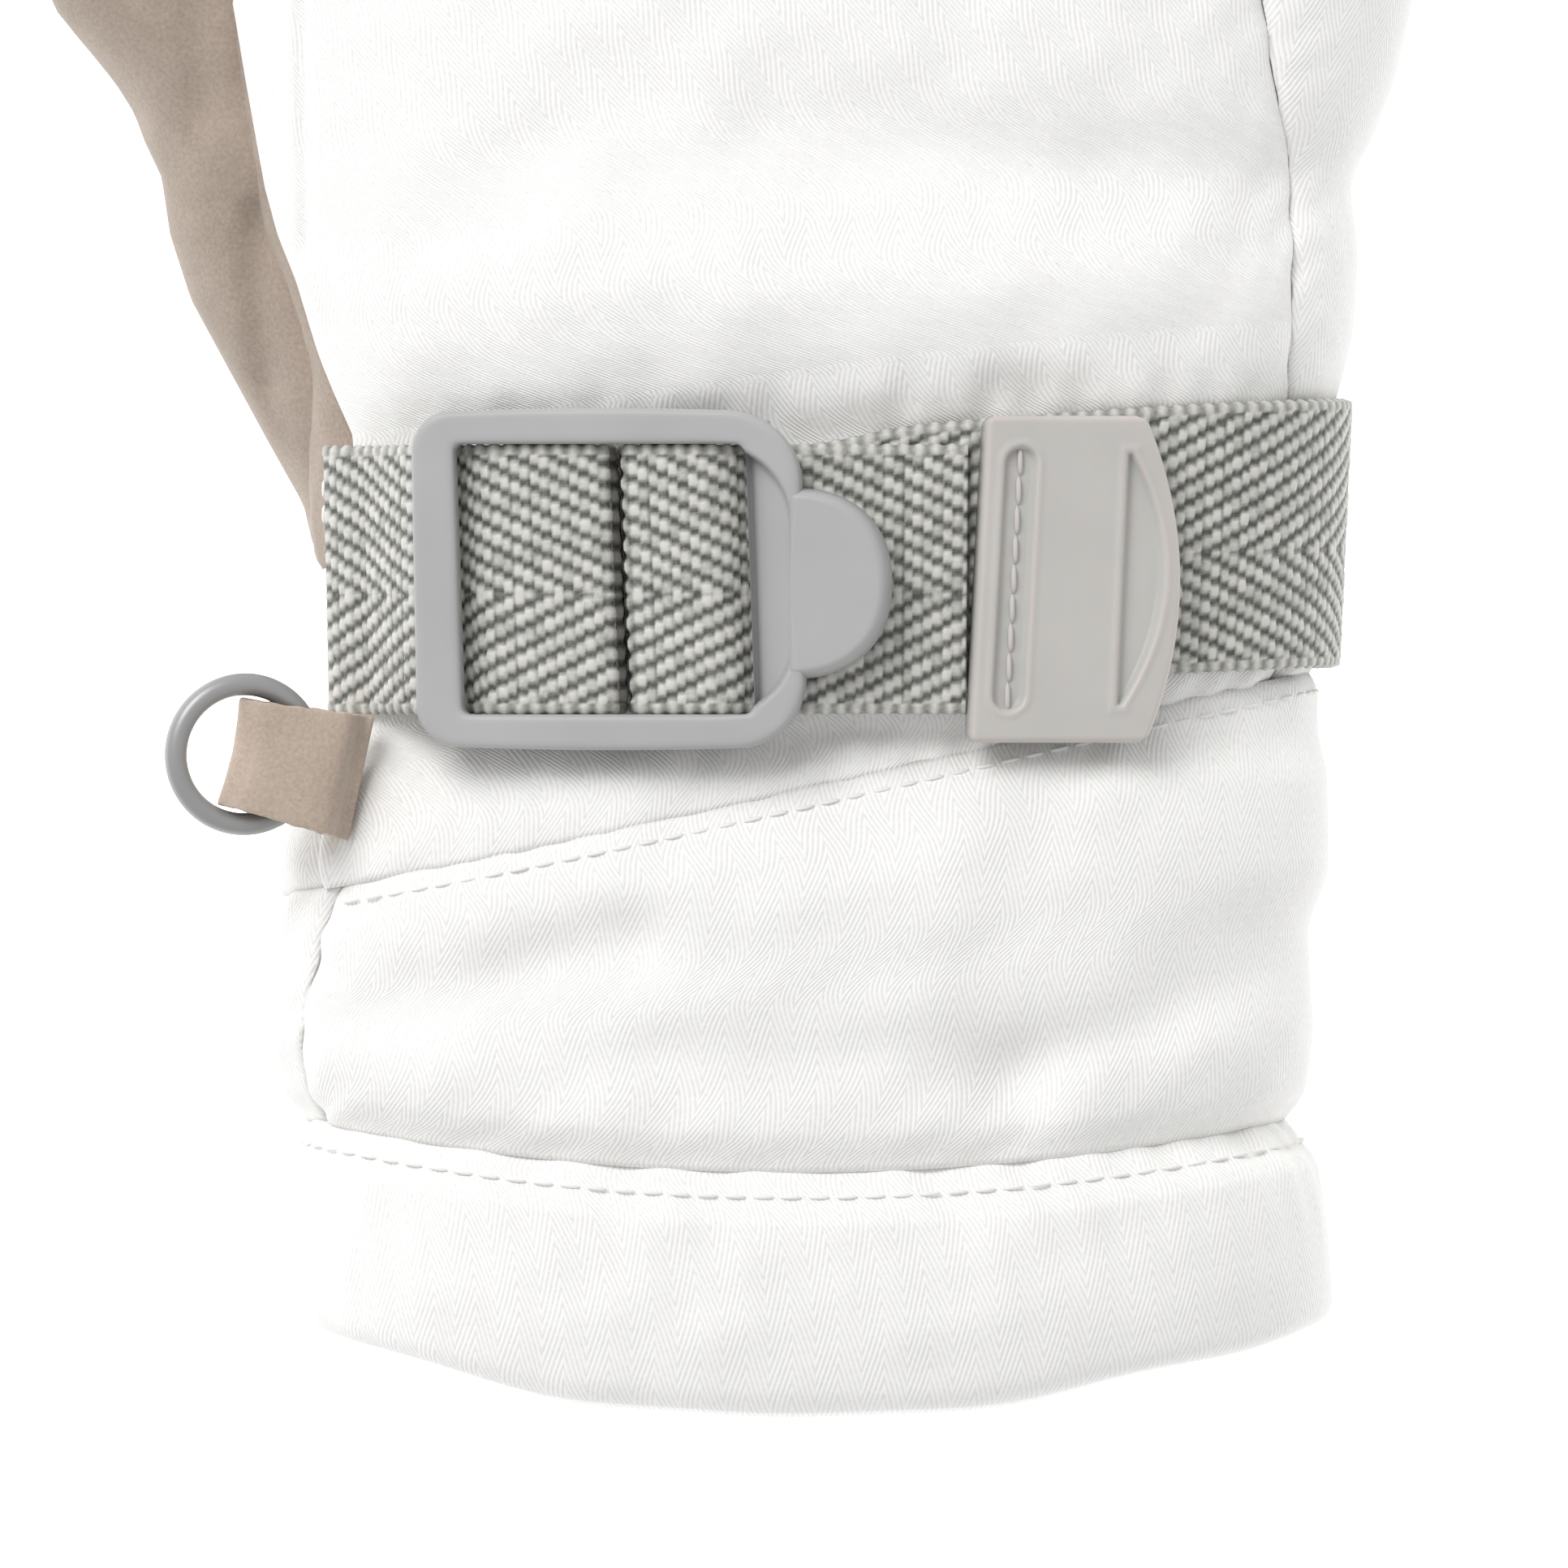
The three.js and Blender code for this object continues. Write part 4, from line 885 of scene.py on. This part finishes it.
# Webbing: a flat band round a smooth line. Narrow columns cross it; the height along each is a wave,
# moved on by one step from column to column and mirrored at the apex line, which gives the chevron
def addWebbing(name, places):
    smooth, along = smoothPlaces(places, strap["step"])
    wayLow, wayHigh = wayAlong(smooth[:, :2]), wayAlong(smooth[:, 2:4])
    w = np.linspace(-0.5, 0.5, strap["samples"])
    face = np.concatenate([w, w[::-1][1:-1]]) * strap["width"]
    side = np.concatenate([np.ones(len(w)), -np.ones(len(w) - 2)])
    alongGrid, acrossGrid = overGrid(along, face)
    column = np.floor(alongGrid / strap["yarn"])
    within = (alongGrid / strap["yarn"] - column) * 2 - 1
    ridge = np.sqrt(np.clip(1 - within**4, 0, 1))
    stepped = (column + 0.5) * strap["yarn"] * weave["lean"] * strap["slope"]
    turns = (np.abs(acrossGrid - strap["apex"]) - stepped) / strap["float"]
    floatWave = np.clip(weave["floatMiddle"] + weave["floatWave"] * np.cos(2 * math.pi * turns), 0, 1)
    edgeAway = strap["width"] / 2 - np.abs(acrossGrid)
    loops = 0.5 + 0.5 * np.cos(2 * math.pi * alongGrid / strap["loopPitch"])
    relief = weave["ridgeLeast"] + (1 - weave["ridgeLeast"]) * ridge
    relief = relief * (weave["floatLeast"] + (1 - weave["floatLeast"]) * floatWave)
    yarnNoise = softNoise(column * 1.3, np.floor(turns + 0.5) * 2.1, 2.7, weave["unevenSeed"])
    relief = relief * (1 - weave["uneven"] + weave["uneven"] * yarnNoise)
    selvedge = weave["loopLow"] + weave["loopHigh"] * loops
    relief = np.where(edgeAway < strap["selvedge"], selvedge, relief)
    edgeRound = np.sqrt(np.clip(1 - np.clip(1 - edgeAway / strap["edgeRound"], 0, 1) ** 2, 0, 1))
    half = strap["thickness"] / 2 - weave["inside"]
    half = half * (weave["edgeThin"] + (1 - weave["edgeThin"]) * edgeRound)
    half = half + strap["relief"] * (relief - 0.5) * weave["share"]
    share = (acrossGrid / strap["width"] + 0.5)[..., None]
    centre = smooth[:, None, 0:2] * (1 - share) + smooth[:, None, 2:4] * share
    way = wayLow[:, None] * (1 - share) + wayHigh[:, None] * share
    normal = np.stack([-way[..., 1], way[..., 0]], axis=-1)
    offset = (side[None, :] * half)[..., None] * normal
    loopOut = strap["loopReach"] * loops * np.sign(acrossGrid) * (edgeAway < 0.3)
    y = strap["middle"] + smooth[:, 4][:, None] + acrossGrid + loopOut
    points = np.stack([centre[..., 0] + offset[..., 0], y, centre[..., 1] + offset[..., 1]], axis=-1)
    # The relief goes into the mesh to colour the webbing: painted shade in its grooves, painted light on
    # its yarns
    mesh = gridMesh(name, skewed(points), ring=True, startCap=True, endCap=True, shades=relief)
    return place(name, closedOut(mesh), greyWebbing, [name])


# How far the right strap has climbed towards the fingers at a place round the glove
def riseAt(degrees):
    x = float(shellPoint(np.array(degrees), np.array(0.0), 0.0, False)[0])
    return float(np.interp(x, strap["riseAt"], strap["rise"]))


frameLeft, frameRight = -buckle["width"] / 2, buckle["width"] / 2
corner = 0.35 * strap["thickness"]
(firstLeft, firstRight), (secondLeft, secondRight) = buckle["bars"]
foldEnd = frameLeft - buckle["foldBack"]
outsideLeft = degreesOver(buckle["x"] + foldEnd - 2 * strap["thickness"])
underTab = buckle["x"] + frameRight + buckle["tabReach"]
tailEnd = endTab["x"] - endTab["length"] / 2 - strap["gap"]

# Sewn down at the left, then over the first bar and folded back under itself
leftPlaces = [onGlove(degrees, lowerLayer) for degrees in np.linspace(strap["leftEnd"], outsideLeft, 4)]
leftPlaces += [inBuckle(across, height) for across, height in (
    (frameLeft, upperLayer), (buckle["openLeft"], upperLayer),
    (firstLeft - corner, overBar), (firstRight + corner, overBar),
    (firstRight + besideBar, overBar - 2 * corner), (firstRight + besideBar, lowerLayer + 2 * corner),
    (firstRight + corner, lowerLayer), (frameLeft, lowerLayer), (foldEnd, lowerLayer),
)]

# From the little finger side under the buckle, up between the bars, over the second one and out
rightPlaces = []
for degrees in np.linspace(strap["rightEnd"], degreesOver(underTab), 16):
    rightPlaces.append(onGlove(degrees, lowerLayer, riseAt(degrees)))
rightPlaces += [inBuckle(across, height) for across, height in (
    (frameRight, lowerLayer), (secondLeft - corner, lowerLayer),
    (secondLeft - besideBar, lowerLayer + 2 * corner), (secondLeft - besideBar, overBar - 2 * corner),
    (secondLeft - corner, overBar), (secondRight + corner, overBar),
    (buckle["openRight"], upperLayer), (frameRight, upperLayer),
)]
rightPlaces += [onGlove(d, upperLayer) for d in np.linspace(degreesOver(underTab), degreesOver(tailEnd), 5)]
addWebbing("left_strap", leftPlaces)
addWebbing("right_strap", rightPlaces)
print("straps ready")


# Turns points of a small part by its tilt and sets them on the glove
def seated(points, x, y, z, tilt):
    out = points.copy()
    out[..., 0] = x + points[..., 0] * math.cos(tilt) - points[..., 2] * math.sin(tilt)
    out[..., 1] = y + points[..., 1]
    out[..., 2] = z + points[..., 0] * math.sin(tilt) + points[..., 2] * math.cos(tilt)
    return out


# A rounded rectangle as a closed line: straight runs and four quarter turns, even in angle
def roundedLine(left, bottom, right, top, radii, count):
    turn = np.linspace(0, 2 * math.pi, count, endpoint=False) + math.pi / 4
    middleX, middleY = (left + right) / 2, (bottom + top) / 2
    reachX, reachY = (right - left) / 2, (top - bottom) / 2
    c, s = np.cos(turn), np.sin(turn)
    stretch = 1 / np.maximum(np.abs(c), np.abs(s))
    x, y = c * stretch * reachX, s * stretch * reachY
    radius = np.where(c > 0, np.where(s > 0, radii[0], radii[3]), np.where(s > 0, radii[1], radii[2]))
    insideX, insideY = reachX - radius, reachY - radius
    overX, overY = np.abs(x) - insideX, np.abs(y) - insideY
    inCorner = (overX > 0) & (overY > 0)
    length = np.maximum(np.hypot(overX, overY), 1e-9)
    x = np.where(inCorner, np.sign(x) * (insideX + overX / length * radius), x)
    y = np.where(inCorner, np.sign(y) * (insideY + overY / length * radius), y)
    return np.stack([middleX + x, middleY + y], axis=-1)


# A superellipse with its points at even steps of its own length
def evenSuperellipse(power, count):
    across, up = superellipse(np.linspace(0, 360, 4001), power)
    length = np.concatenate([[0], np.cumsum(np.hypot(np.diff(across), np.diff(up)))])
    even = np.arange(count) * length[-1] / count
    return np.interp(even, length, across), np.interp(even, length, up)


# The frame: a rounded section carried round between the opening's line and the outer line. Right of
# slopeFrom its top is sunk inside a rim, and falls on towards the opening
def buckleFramePoints():
    count, around = 400, 76
    halfX, halfY = frameRight, strap["width"] / 2 + 0.1
    openLeft, openRight, outerHalf = buckle["openLeft"], buckle["openRight"], buckle["height"] / 2
    inner = roundedLine(openLeft, -halfY, openRight, halfY, buckle["innerCorners"], count)
    outerRight = frameRight + buckle["rightOver"]
    outer = roundedLine(frameLeft, -outerHalf, outerRight, outerHalf, buckle["outerCorners"], count)
    bow = buckle["bow"] * np.sign(outer[:, 1]) * (1 - (outer[:, 0] / halfX) ** 2)
    outer[:, 1] = outer[:, 1] + bow * (np.abs(outer[:, 1]) > 10)
    across, up = evenSuperellipse(6, around)
    share = (0.5 + 0.5 * across)[None, :, None]
    flat = inner[:, None] * (1 - share) + outer[:, None] * share
    radius = buckle["rimRound"]
    overX = np.maximum(flat[..., 0] - (buckle["rimRight"] - radius), 0)
    overY = np.maximum(np.abs(flat[..., 1]) - (halfY - radius), 0)
    insideRim = smoothStep(radius - np.hypot(overX, overY), -0.15, 0.35)
    down = np.clip((buckle["rimRight"] - flat[..., 0]) / buckle["slopeWide"], 0, 1)
    fall = buckle["sunk"] + buckle["slope"] * down
    onTop = smoothStep(up, 0.2, 0.9)[None, :]
    sunk = insideRim * smoothStep(flat[..., 0], *buckle["slopeFrom"]) * fall
    sunk = np.minimum(sunk, buckle["frame"] - 0.5) * onTop
    height = frameBottom + buckle["frame"] * (0.5 + 0.5 * up[None, :]) - sunk
    return np.concatenate([flat, height[..., None]], axis=-1)


# The thumb tab: half a superellipse of rings from its middle line, thinner to its rim
def thumbTabPoints():
    rows, columns = 40, 48
    middleY, lift, inside = -0.4, 0.6, frameRight - 0.55
    reach, turn = overGrid(np.linspace(0, 1, rows), np.linspace(-math.pi / 2, math.pi / 2, columns))
    across, up = superellipse(np.degrees(turn), buckle["tabRoundness"])
    x = inside + (frameRight + buckle["tabReach"] - inside) * reach * across
    y = middleY + (buckle["tabHeight"] / 2 - middleY) * reach * up
    rim = np.sqrt(np.clip(1 - np.clip((reach - 0.9) / 0.1, 0, 1) ** 2, 0, 1))
    top = frameBottom + lift + (buckle["frame"] - 0.57) * rim
    under = frameBottom + lift - lift * rim
    return np.stack([x, y, top], -1), np.stack([x, y, under], -1)


# The points round a grid's rim, in order
def rimOf(points):
    return np.concatenate([points[0], points[1:, -1], points[-1, ::-1][1:], points[::-1, 0][1:-1]])


# A plate between an upper and a lower grid of the same outline, closed round its rim
def plateMesh(name, top, under):
    sides = np.stack([rimOf(under), rimOf(top)], axis=0)
    parts = [gridMesh("top", top), gridMesh("under", under[:, ::-1]), gridMesh("sides", sides, ring=True)]
    return merged(joined(name, parts))


# A bar along Y with an almost square section, which is a superellipse
def boxPoints(left, right, low, high, bottom, top):
    rows, columns, power = 24, 20, 5
    y, degrees = overGrid(np.linspace(low, high, rows), np.arange(columns) * 360 / columns)
    across, up = superellipse(degrees, power)
    x = (left + right) / 2 + (right - left) / 2 * across
    z = (bottom + top) / 2 + (top - bottom) / 2 * up
    return np.stack([x, y, z], axis=-1)


# The buckle: frame, thumb tab, the two cross bars, and a rail on each side that holds their ends
def addBuckle():
    seat = (buckle["x"], strap["middle"], buckleBase, buckleTilt)
    framePoints = buckleFramePoints()
    framePoints = np.concatenate([framePoints, framePoints[:1]])
    parts = [closedOut(gridMesh("frame", skewed(seated(framePoints, *seat)), ring=True))]
    top, under = thumbTabPoints()
    parts.append(plateMesh("tab", seated(top, *seat), seated(under, *seat)))
    halfY = strap["width"] / 2 + 1.2
    for left, right in buckle["bars"]:
        bar = boxPoints(left, right, -halfY, halfY, barBottom, barBottom + buckle["barTall"])
        bar = skewed(seated(bar, *seat))
        parts.append(closedOut(gridMesh("bar", bar, ring=True, startCap=True, endCap=True)))
    for side in (-1, 1):
        low, high = sorted((side * (strap["width"] / 2 + 0.5), side * (buckle["height"] / 2 - 0.7)))
        rail = boxPoints(low, high, frameLeft + 3, frameRight - 3, barBottom, frameBottom + 1)
        rail = seated(rail[..., [1, 0, 2]], *seat)
        parts.append(closedOut(gridMesh("rail", rail, ring=True, startCap=True, endCap=True)))
    whole = merged(joined("buckle", parts), turnOut=False)
    place("buckle", whole, bucklePlastic, ["buckle"])


addBuckle()

# The end tab's own form: its slanted left edge, its rounded rim, the slot of its stitches and its lens
tabForm = {
    "slant": 0.055, "cornerCut": 0.9, "cornerFrom": 0.94, "rim": 0.55, "slotFrom": 3.4, "slotHalf": 1.4,
    "slotReach": 10.8, "slotDeep": 0.8, "lensFrom": 4.1, "lensSlant": 0.047, "lensEnds": 0.3,
    "lensBulge": 3.5, "lensRound": 11.8, "lensReach": 11.7, "lensDeep": 0.9, "bead": 0.14,
    "beadAway": 0.5, "beadSpread": 0.3, "stitches": 9, "stitchReach": 11, "rows": 134, "columns": 96,
}


# A low ridge round a recess, bell-shaped over the way from its edge
def beadRound(inside):
    return tabForm["bead"] * np.exp(-(((inside + tabForm["beadAway"]) / tabForm["beadSpread"]) ** 2))


# The end tab: a plate whose top falls by a quarter circle at its rim and by smooth steps into its slot
# and its lens-shaped recess
def addEndTab():
    v, u = overGrid(np.linspace(-1, 1, tabForm["rows"]), np.linspace(0, 1, tabForm["columns"]))
    halfX, halfY = endTab["length"] / 2, endTab["width"] / 2
    left = -halfX + tabForm["slant"] * v * halfY
    right = halfX - endTab["bulge"] * v**2
    nearCorner = np.clip((np.abs(v) - tabForm["cornerFrom"]) / (1 - tabForm["cornerFrom"]), 0, 1)
    cornerCut = tabForm["cornerCut"] * nearCorner**2
    x = left + cornerCut + (right - left - 2 * cornerCut) * u
    y = v * halfY
    edge = np.minimum(np.minimum(x - left, right - x), (1 - np.abs(v)) * halfY)
    rim = tabForm["rim"] * (1 - np.sqrt(1 - np.clip(1 - edge / tabForm["rim"], 0, 1) ** 2))
    beyond = np.maximum(np.abs(y) - tabForm["slotReach"], 0)
    toSlot = tabForm["slotHalf"] - np.hypot(x - (left + tabForm["slotFrom"]), beyond)
    inSlot = smoothStep(toSlot, -0.2, 0.2)
    lensLeft = tabForm["lensFrom"] + tabForm["lensSlant"] * y
    bulge = tabForm["lensBulge"] * np.clip(1 - (y / tabForm["lensRound"]) ** 2, 0, 1)
    lensRight = lensLeft + tabForm["lensEnds"] + bulge
    toLens = np.minimum(np.minimum(x - lensLeft, lensRight - x), tabForm["lensReach"] - np.abs(y))
    inLens = smoothStep(toLens, -0.15, 0.35)
    bead = beadRound(toSlot) + beadRound(toLens)
    lift = upperLayer - strap["thickness"] / 2
    top = lift + endTab["thick"] - rim + bead - tabForm["slotDeep"] * inSlot - tabForm["lensDeep"] * inLens
    seat = (endTab["x"], strap["middle"], float(backHeight(endTab["x"], 0)), tiltAt(endTab["x"]))
    upper = seated(np.stack([x, y, top], -1), *seat)
    lower = seated(np.stack([x, y, np.full_like(x, lift)], -1), *seat)
    mesh = plateMesh("strap_end_tab", upper, lower)
    place("strap_end_tab", mesh, tabRubber, ["strap_end_tab"])
    stitchY = np.linspace(-tabForm["stitchReach"], tabForm["stitchReach"], tabForm["stitches"])
    stitchX = -halfX + tabForm["slotFrom"] + tabForm["slant"] * stitchY
    stitchZ = np.full(len(stitchY), lift + endTab["thick"] - tabForm["rim"])
    middles = seated(np.stack([stitchX, stitchY, stitchZ], -1), *seat)
    along = np.tile([0.0, 1.0, 0.0], (len(stitchY), 1))
    addStitches("strap_end_tab_stitches", middles, along, 2.7, 0.26, threadGrey)


# Stitches, all in one mesh: each is a short round thread along the seam, whose radius closes at its
# ends and whose ends sink by the square of the way from its middle. Their faces are made facing out
def addStitches(name, middles, directions, length, radius, material=None):
    count = len(middles)
    directions = directions / np.linalg.norm(directions, axis=-1, keepdims=True)
    side = np.cross(directions, [0.0, 0.0, 1.0])
    side = side / np.maximum(np.linalg.norm(side, axis=-1, keepdims=True), 1e-6)
    up = np.cross(side, directions)
    rings, sides = 7, 8
    u = np.linspace(-1, 1, rings)
    thick = np.sqrt(np.clip(1 - (0.97 * u) ** 4, 0.02, 1))
    turn = np.arange(sides) * 2 * math.pi / sides
    around = side[:, None, :] * np.cos(turn)[None, :, None] + up[:, None, :] * np.sin(turn)[None, :, None]
    sink = (radius * 0.9 * u**2)[None, :, None, None] * up[:, None, None, :]
    out = (u * length / 2)[None, :, None, None]
    points = middles[:, None, None, :] + directions[:, None, None, :] * out
    points = points + around[:, None] * (thick * radius)[None, :, None, None] - sink
    verts = points.reshape(-1, 3) * mm
    ring, spot = overGrid(np.arange(rings - 1), np.arange(sides))
    nextSpot = (spot + 1) % sides
    near, far = ring * sides, (ring + 1) * sides
    one = np.stack([near + spot, far + spot, far + nextSpot, near + nextSpot], -1).reshape(-1, 4)
    faces = (one[None] + (np.arange(count) * rings * sides)[:, None, None]).reshape(-1, 4).tolist()
    for first in np.arange(count) * rings * sides:
        faces.append((first + np.arange(sides)).tolist())
        faces.append((first + (rings - 1) * sides + np.arange(sides)[::-1]).tolist())
    mesh = bpy.data.meshes.new(name)
    mesh.from_pydata(verts.tolist(), [], faces)
    mesh.polygons.foreach_set("use_smooth", np.ones(len(mesh.polygons), bool))
    return place(name, mesh, material or threadWhite)


# Stitches spaced evenly along a line on the shell, given as degrees and v; each lies along the line
# through the places a little ahead of it and behind it
def stitchLine(name, degrees, v, pitch, length, radius, sink=0.0):
    line = shellPoint(degrees, v, sink)
    along = np.concatenate([[0], np.cumsum(np.linalg.norm(np.diff(line, axis=0), axis=1))])
    places = (np.arange(int(along[-1] / pitch)) + 0.5) * pitch
    spots = []
    for shift in (0, 0.6, -0.6):
        spots.append(np.stack([np.interp(places + shift, along, line[:, k]) for k in range(3)], -1))
    middles, ahead, behind = spots
    return addStitches(name, middles, ahead - behind, length, radius)


addEndTab()

# Lines of stitches: their pitch, the length and radius of each thread, and how deep they sink
stitches = {
    "hem": {"pitch": 2.6, "length": 1.9, "radius": 0.19, "sink": 0.25},
    "slant": {"pitch": 2.5, "length": 1.8, "radius": 0.18, "sink": 0.3},
    "wrist": {"pitch": 2.4, "length": 1.7, "radius": 0.25, "sink": -0.05},
    "slantDown": 1.7, "slantFrom": -144, "slantTo": 148, "wristX": -47.9, "wristFrom": 3.2, "wristTo": 9.2,
}
ringDegrees = np.linspace(0, 360, 1200)
hemStitchV = hemSeam - hem["stitchDown"] + 0 * ringDegrees
stitchLine("hem_stitches", ringDegrees, hemStitchV, **stitches["hem"])
slantDegrees = np.linspace(stitches["slantFrom"], stitches["slantTo"], 900)
slantStitchV = slantSeam(slantDegrees) - stitches["slantDown"]
stitchLine("slant_seam_stitches", slantDegrees, slantStitchV, **stitches["slant"])
wristStitchV = np.linspace(stitches["wristFrom"], stitches["wristTo"], 40)
wristDegrees = thumbDegrees(wristStitchV, stitches["wristX"])
stitchLine("wrist_stitches", wristDegrees, wristStitchV, **stitches["wrist"])
print("buckle, tab and stitches ready")

# Hanging ring and its suede loop
ring = {"outer": 15.2, "wire": 2.1, "fromSeam": 11.3}
loop = {"seamX": -44.5, "seamY": -20.4, "reach": 12.9, "seamWidth": 11.8, "foldWidth": 10.1,
        "thickness": 1.4, "sewnGap": 0.3, "droop": 14.0, "turn": 12.0, "endSunk": 1.9, "hollow": 0.6}


# Turns points from the loop's own place, out along its first axis, to the glove
def loopSeated(points):
    turn = math.pi - math.radians(loop["turn"])
    droop = -math.radians(loop["droop"])
    x = points[..., 0] * math.cos(droop) + points[..., 2] * math.sin(droop)
    z = -points[..., 0] * math.sin(droop) + points[..., 2] * math.cos(droop)
    seatZ = float(backHeight(loop["seamX"], loop["seamY"] - loop["seamWidth"] / 4))
    seatZ += loop["sewnGap"] / 2 + loop["thickness"] + strap["gap"]
    out = np.empty_like(points)
    out[..., 0] = loop["seamX"] + x * math.cos(turn) - points[..., 1] * math.sin(turn)
    out[..., 1] = loop["seamY"] + x * math.sin(turn) + points[..., 1] * math.cos(turn)
    out[..., 2] = seatZ + z
    return out


# The ring: a circle of wire carried round a circle, whose last row closes on its first
def addRing():
    count, sides = 96, 20
    aroundWire = np.arange(sides) * 2 * math.pi / sides
    turn, around = overGrid(np.arange(count + 1) * 2 * math.pi / count, aroundWire)
    wire = ring["wire"] / 2
    reach = ring["outer"] / 2 - wire + wire * np.cos(around)
    x = ring["fromSeam"] + reach * np.cos(turn)
    points = np.stack([x, reach * np.sin(turn), wire * np.sin(around)], -1)
    mesh = merged(gridMesh("ring", loopSeated(points), ring=True), 1e-7)
    place("ring", mesh, ringPaint, ["ring"])


# The loop: a flat section carried out over the wire, round the fold by a half circle and back under it
def addRingLoop():
    wire = ring["wire"] / 2
    sewn = (loop["sewnGap"] + loop["thickness"]) / 2
    opened = wire + strap["gap"] + loop["thickness"] / 2
    foldStart = loop["reach"] - opened - loop["thickness"] / 2
    wireStart = ring["fromSeam"] - ring["outer"] / 2 - strap["gap"]
    upper = [(-0.3, sewn), (1.5, sewn), (wireStart, opened), (foldStart, opened)]
    turned = []
    for degrees in (60, 30, 0):
        turn = math.radians(degrees)
        turned.append((foldStart + opened * math.cos(turn), opened * math.sin(turn)))
    path = upper + turned + [(x, -z) for x, z in (upper + turned[:-1])[::-1]]
    smooth, along = smoothPlaces([(x, z, x, z, 0.0) for x, z in path], 0.3)
    way = wayAlong(smooth[:, :2])
    normal = np.stack([-way[:, 1], way[:, 0]], -1)
    across, up = superellipse(np.arange(64) * 360 / 64, 9)
    share = np.clip(smooth[:, 0] / loop["reach"], 0, 1)
    half = (loop["seamWidth"] * (1 - share) + loop["foldWidth"] * share) / 2
    edge = 0.06 * softNoise(along[:, None], across[None, :] * 3, 1.6, 51)
    y = across[None, :] * (half[:, None] + edge)
    lift = up[None, :] * loop["thickness"] / 2
    x = smooth[:, None, 0] + normal[:, None, 0] * lift
    sunk = loop["endSunk"] * np.exp(-((np.maximum(x, 0) / 1.5) ** 2))
    z = smooth[:, None, 1] + normal[:, None, 1] * lift - sunk
    x = x - loop["hollow"] * share[:, None] ** 3 * (1 - across[None, :] ** 2)
    points = loopSeated(np.stack([x, y, z], -1))
    mesh = closedOut(gridMesh("ring_loop", points, ring=True, startCap=True, endCap=True))
    # The loop wears the lighter suede: painted light against its shade
    place("ring_loop", mesh, loopSuedePaintedLight, ["ring_loop"])


addRing()
addRingLoop()
print("ring and loop ready")

# Floor, light and camera. The camera's lengths are millimetres, the floor's and the light's metres
stage = {
    "floor": (0.96, 0.96, 0.96), "floorGlow": 0.75, "floorSize": 3.0, "floorDown": 0.0002, "world": 0.66,
    "keyPower": 10.5, "keySize": 0.7, "keyPlace": (-0.55, 0.75, 1.0), "keyAim": (0.0, -0.02, 0.02),
    "frameWidth": 146.4, "centreX": -4.8, "centreY": -20.9, "focusHeight": 42.0, "distance": 2600.0,
    "sensor": 36,
}


# The floor is one glowing square under the glove
def addFloor():
    mesh = bpy.data.meshes.new("floor")
    size = stage["floorSize"]
    corners = [(-size, -size, 0), (size, -size, 0), (size, size, 0), (-size, size, 0)]
    mesh.from_pydata(corners, [], [(0, 1, 2, 3)])
    floor = bpy.data.objects.new("floor", mesh)
    bpy.context.scene.collection.objects.link(floor)
    floor.location.z = -stage["floorDown"]
    material, _, _, shader = newMaterial("pale floor", {"roughness": 0.9, "specular": 0.1})
    shader.inputs["Base Color"].default_value = (*stage["floor"], 1)
    shader.inputs["Emission Color"].default_value = (1, 1, 1, 1)
    shader.inputs["Emission Strength"].default_value = stage["floorGlow"]
    mesh.materials.append(material)


# A white world all round, and a key light that points at the glove from beyond its fingers
def addLights():
    world = bpy.data.worlds.new("studio")
    bpy.context.scene.world = world
    world.use_nodes = True
    background = world.node_tree.nodes["Background"]
    background.inputs["Color"].default_value = (1, 1, 1, 1)
    background.inputs["Strength"].default_value = stage["world"]
    light = bpy.data.lights.new("key", "AREA")
    light.energy = stage["keyPower"]
    light.size = stage["keySize"]
    key = bpy.data.objects.new("key", light)
    bpy.context.scene.collection.objects.link(key)
    key.location = stage["keyPlace"]
    direction = Vector(stage["keyAim"]) - Vector(stage["keyPlace"])
    key.rotation_euler = direction.to_track_quat("-Z", "Y").to_euler()


# The camera looks straight down; its lens is the sensor times distance over the width of the frame
def addCamera():
    camera = bpy.data.cameras.new("camera")
    camera.sensor_width = stage["sensor"]
    camera.lens = stage["sensor"] * stage["distance"] / stage["frameWidth"]
    camera.clip_end = 20
    view = bpy.data.objects.new("camera", camera)
    bpy.context.scene.collection.objects.link(view)
    high = stage["focusHeight"] + stage["distance"]
    view.location = (stage["centreX"] * mm, stage["centreY"] * mm, high * mm)
    bpy.context.scene.camera = view
    bpy.context.scene.view_settings.view_transform = "Standard"


addFloor()
addLights()
addCamera()
print("stage ready")
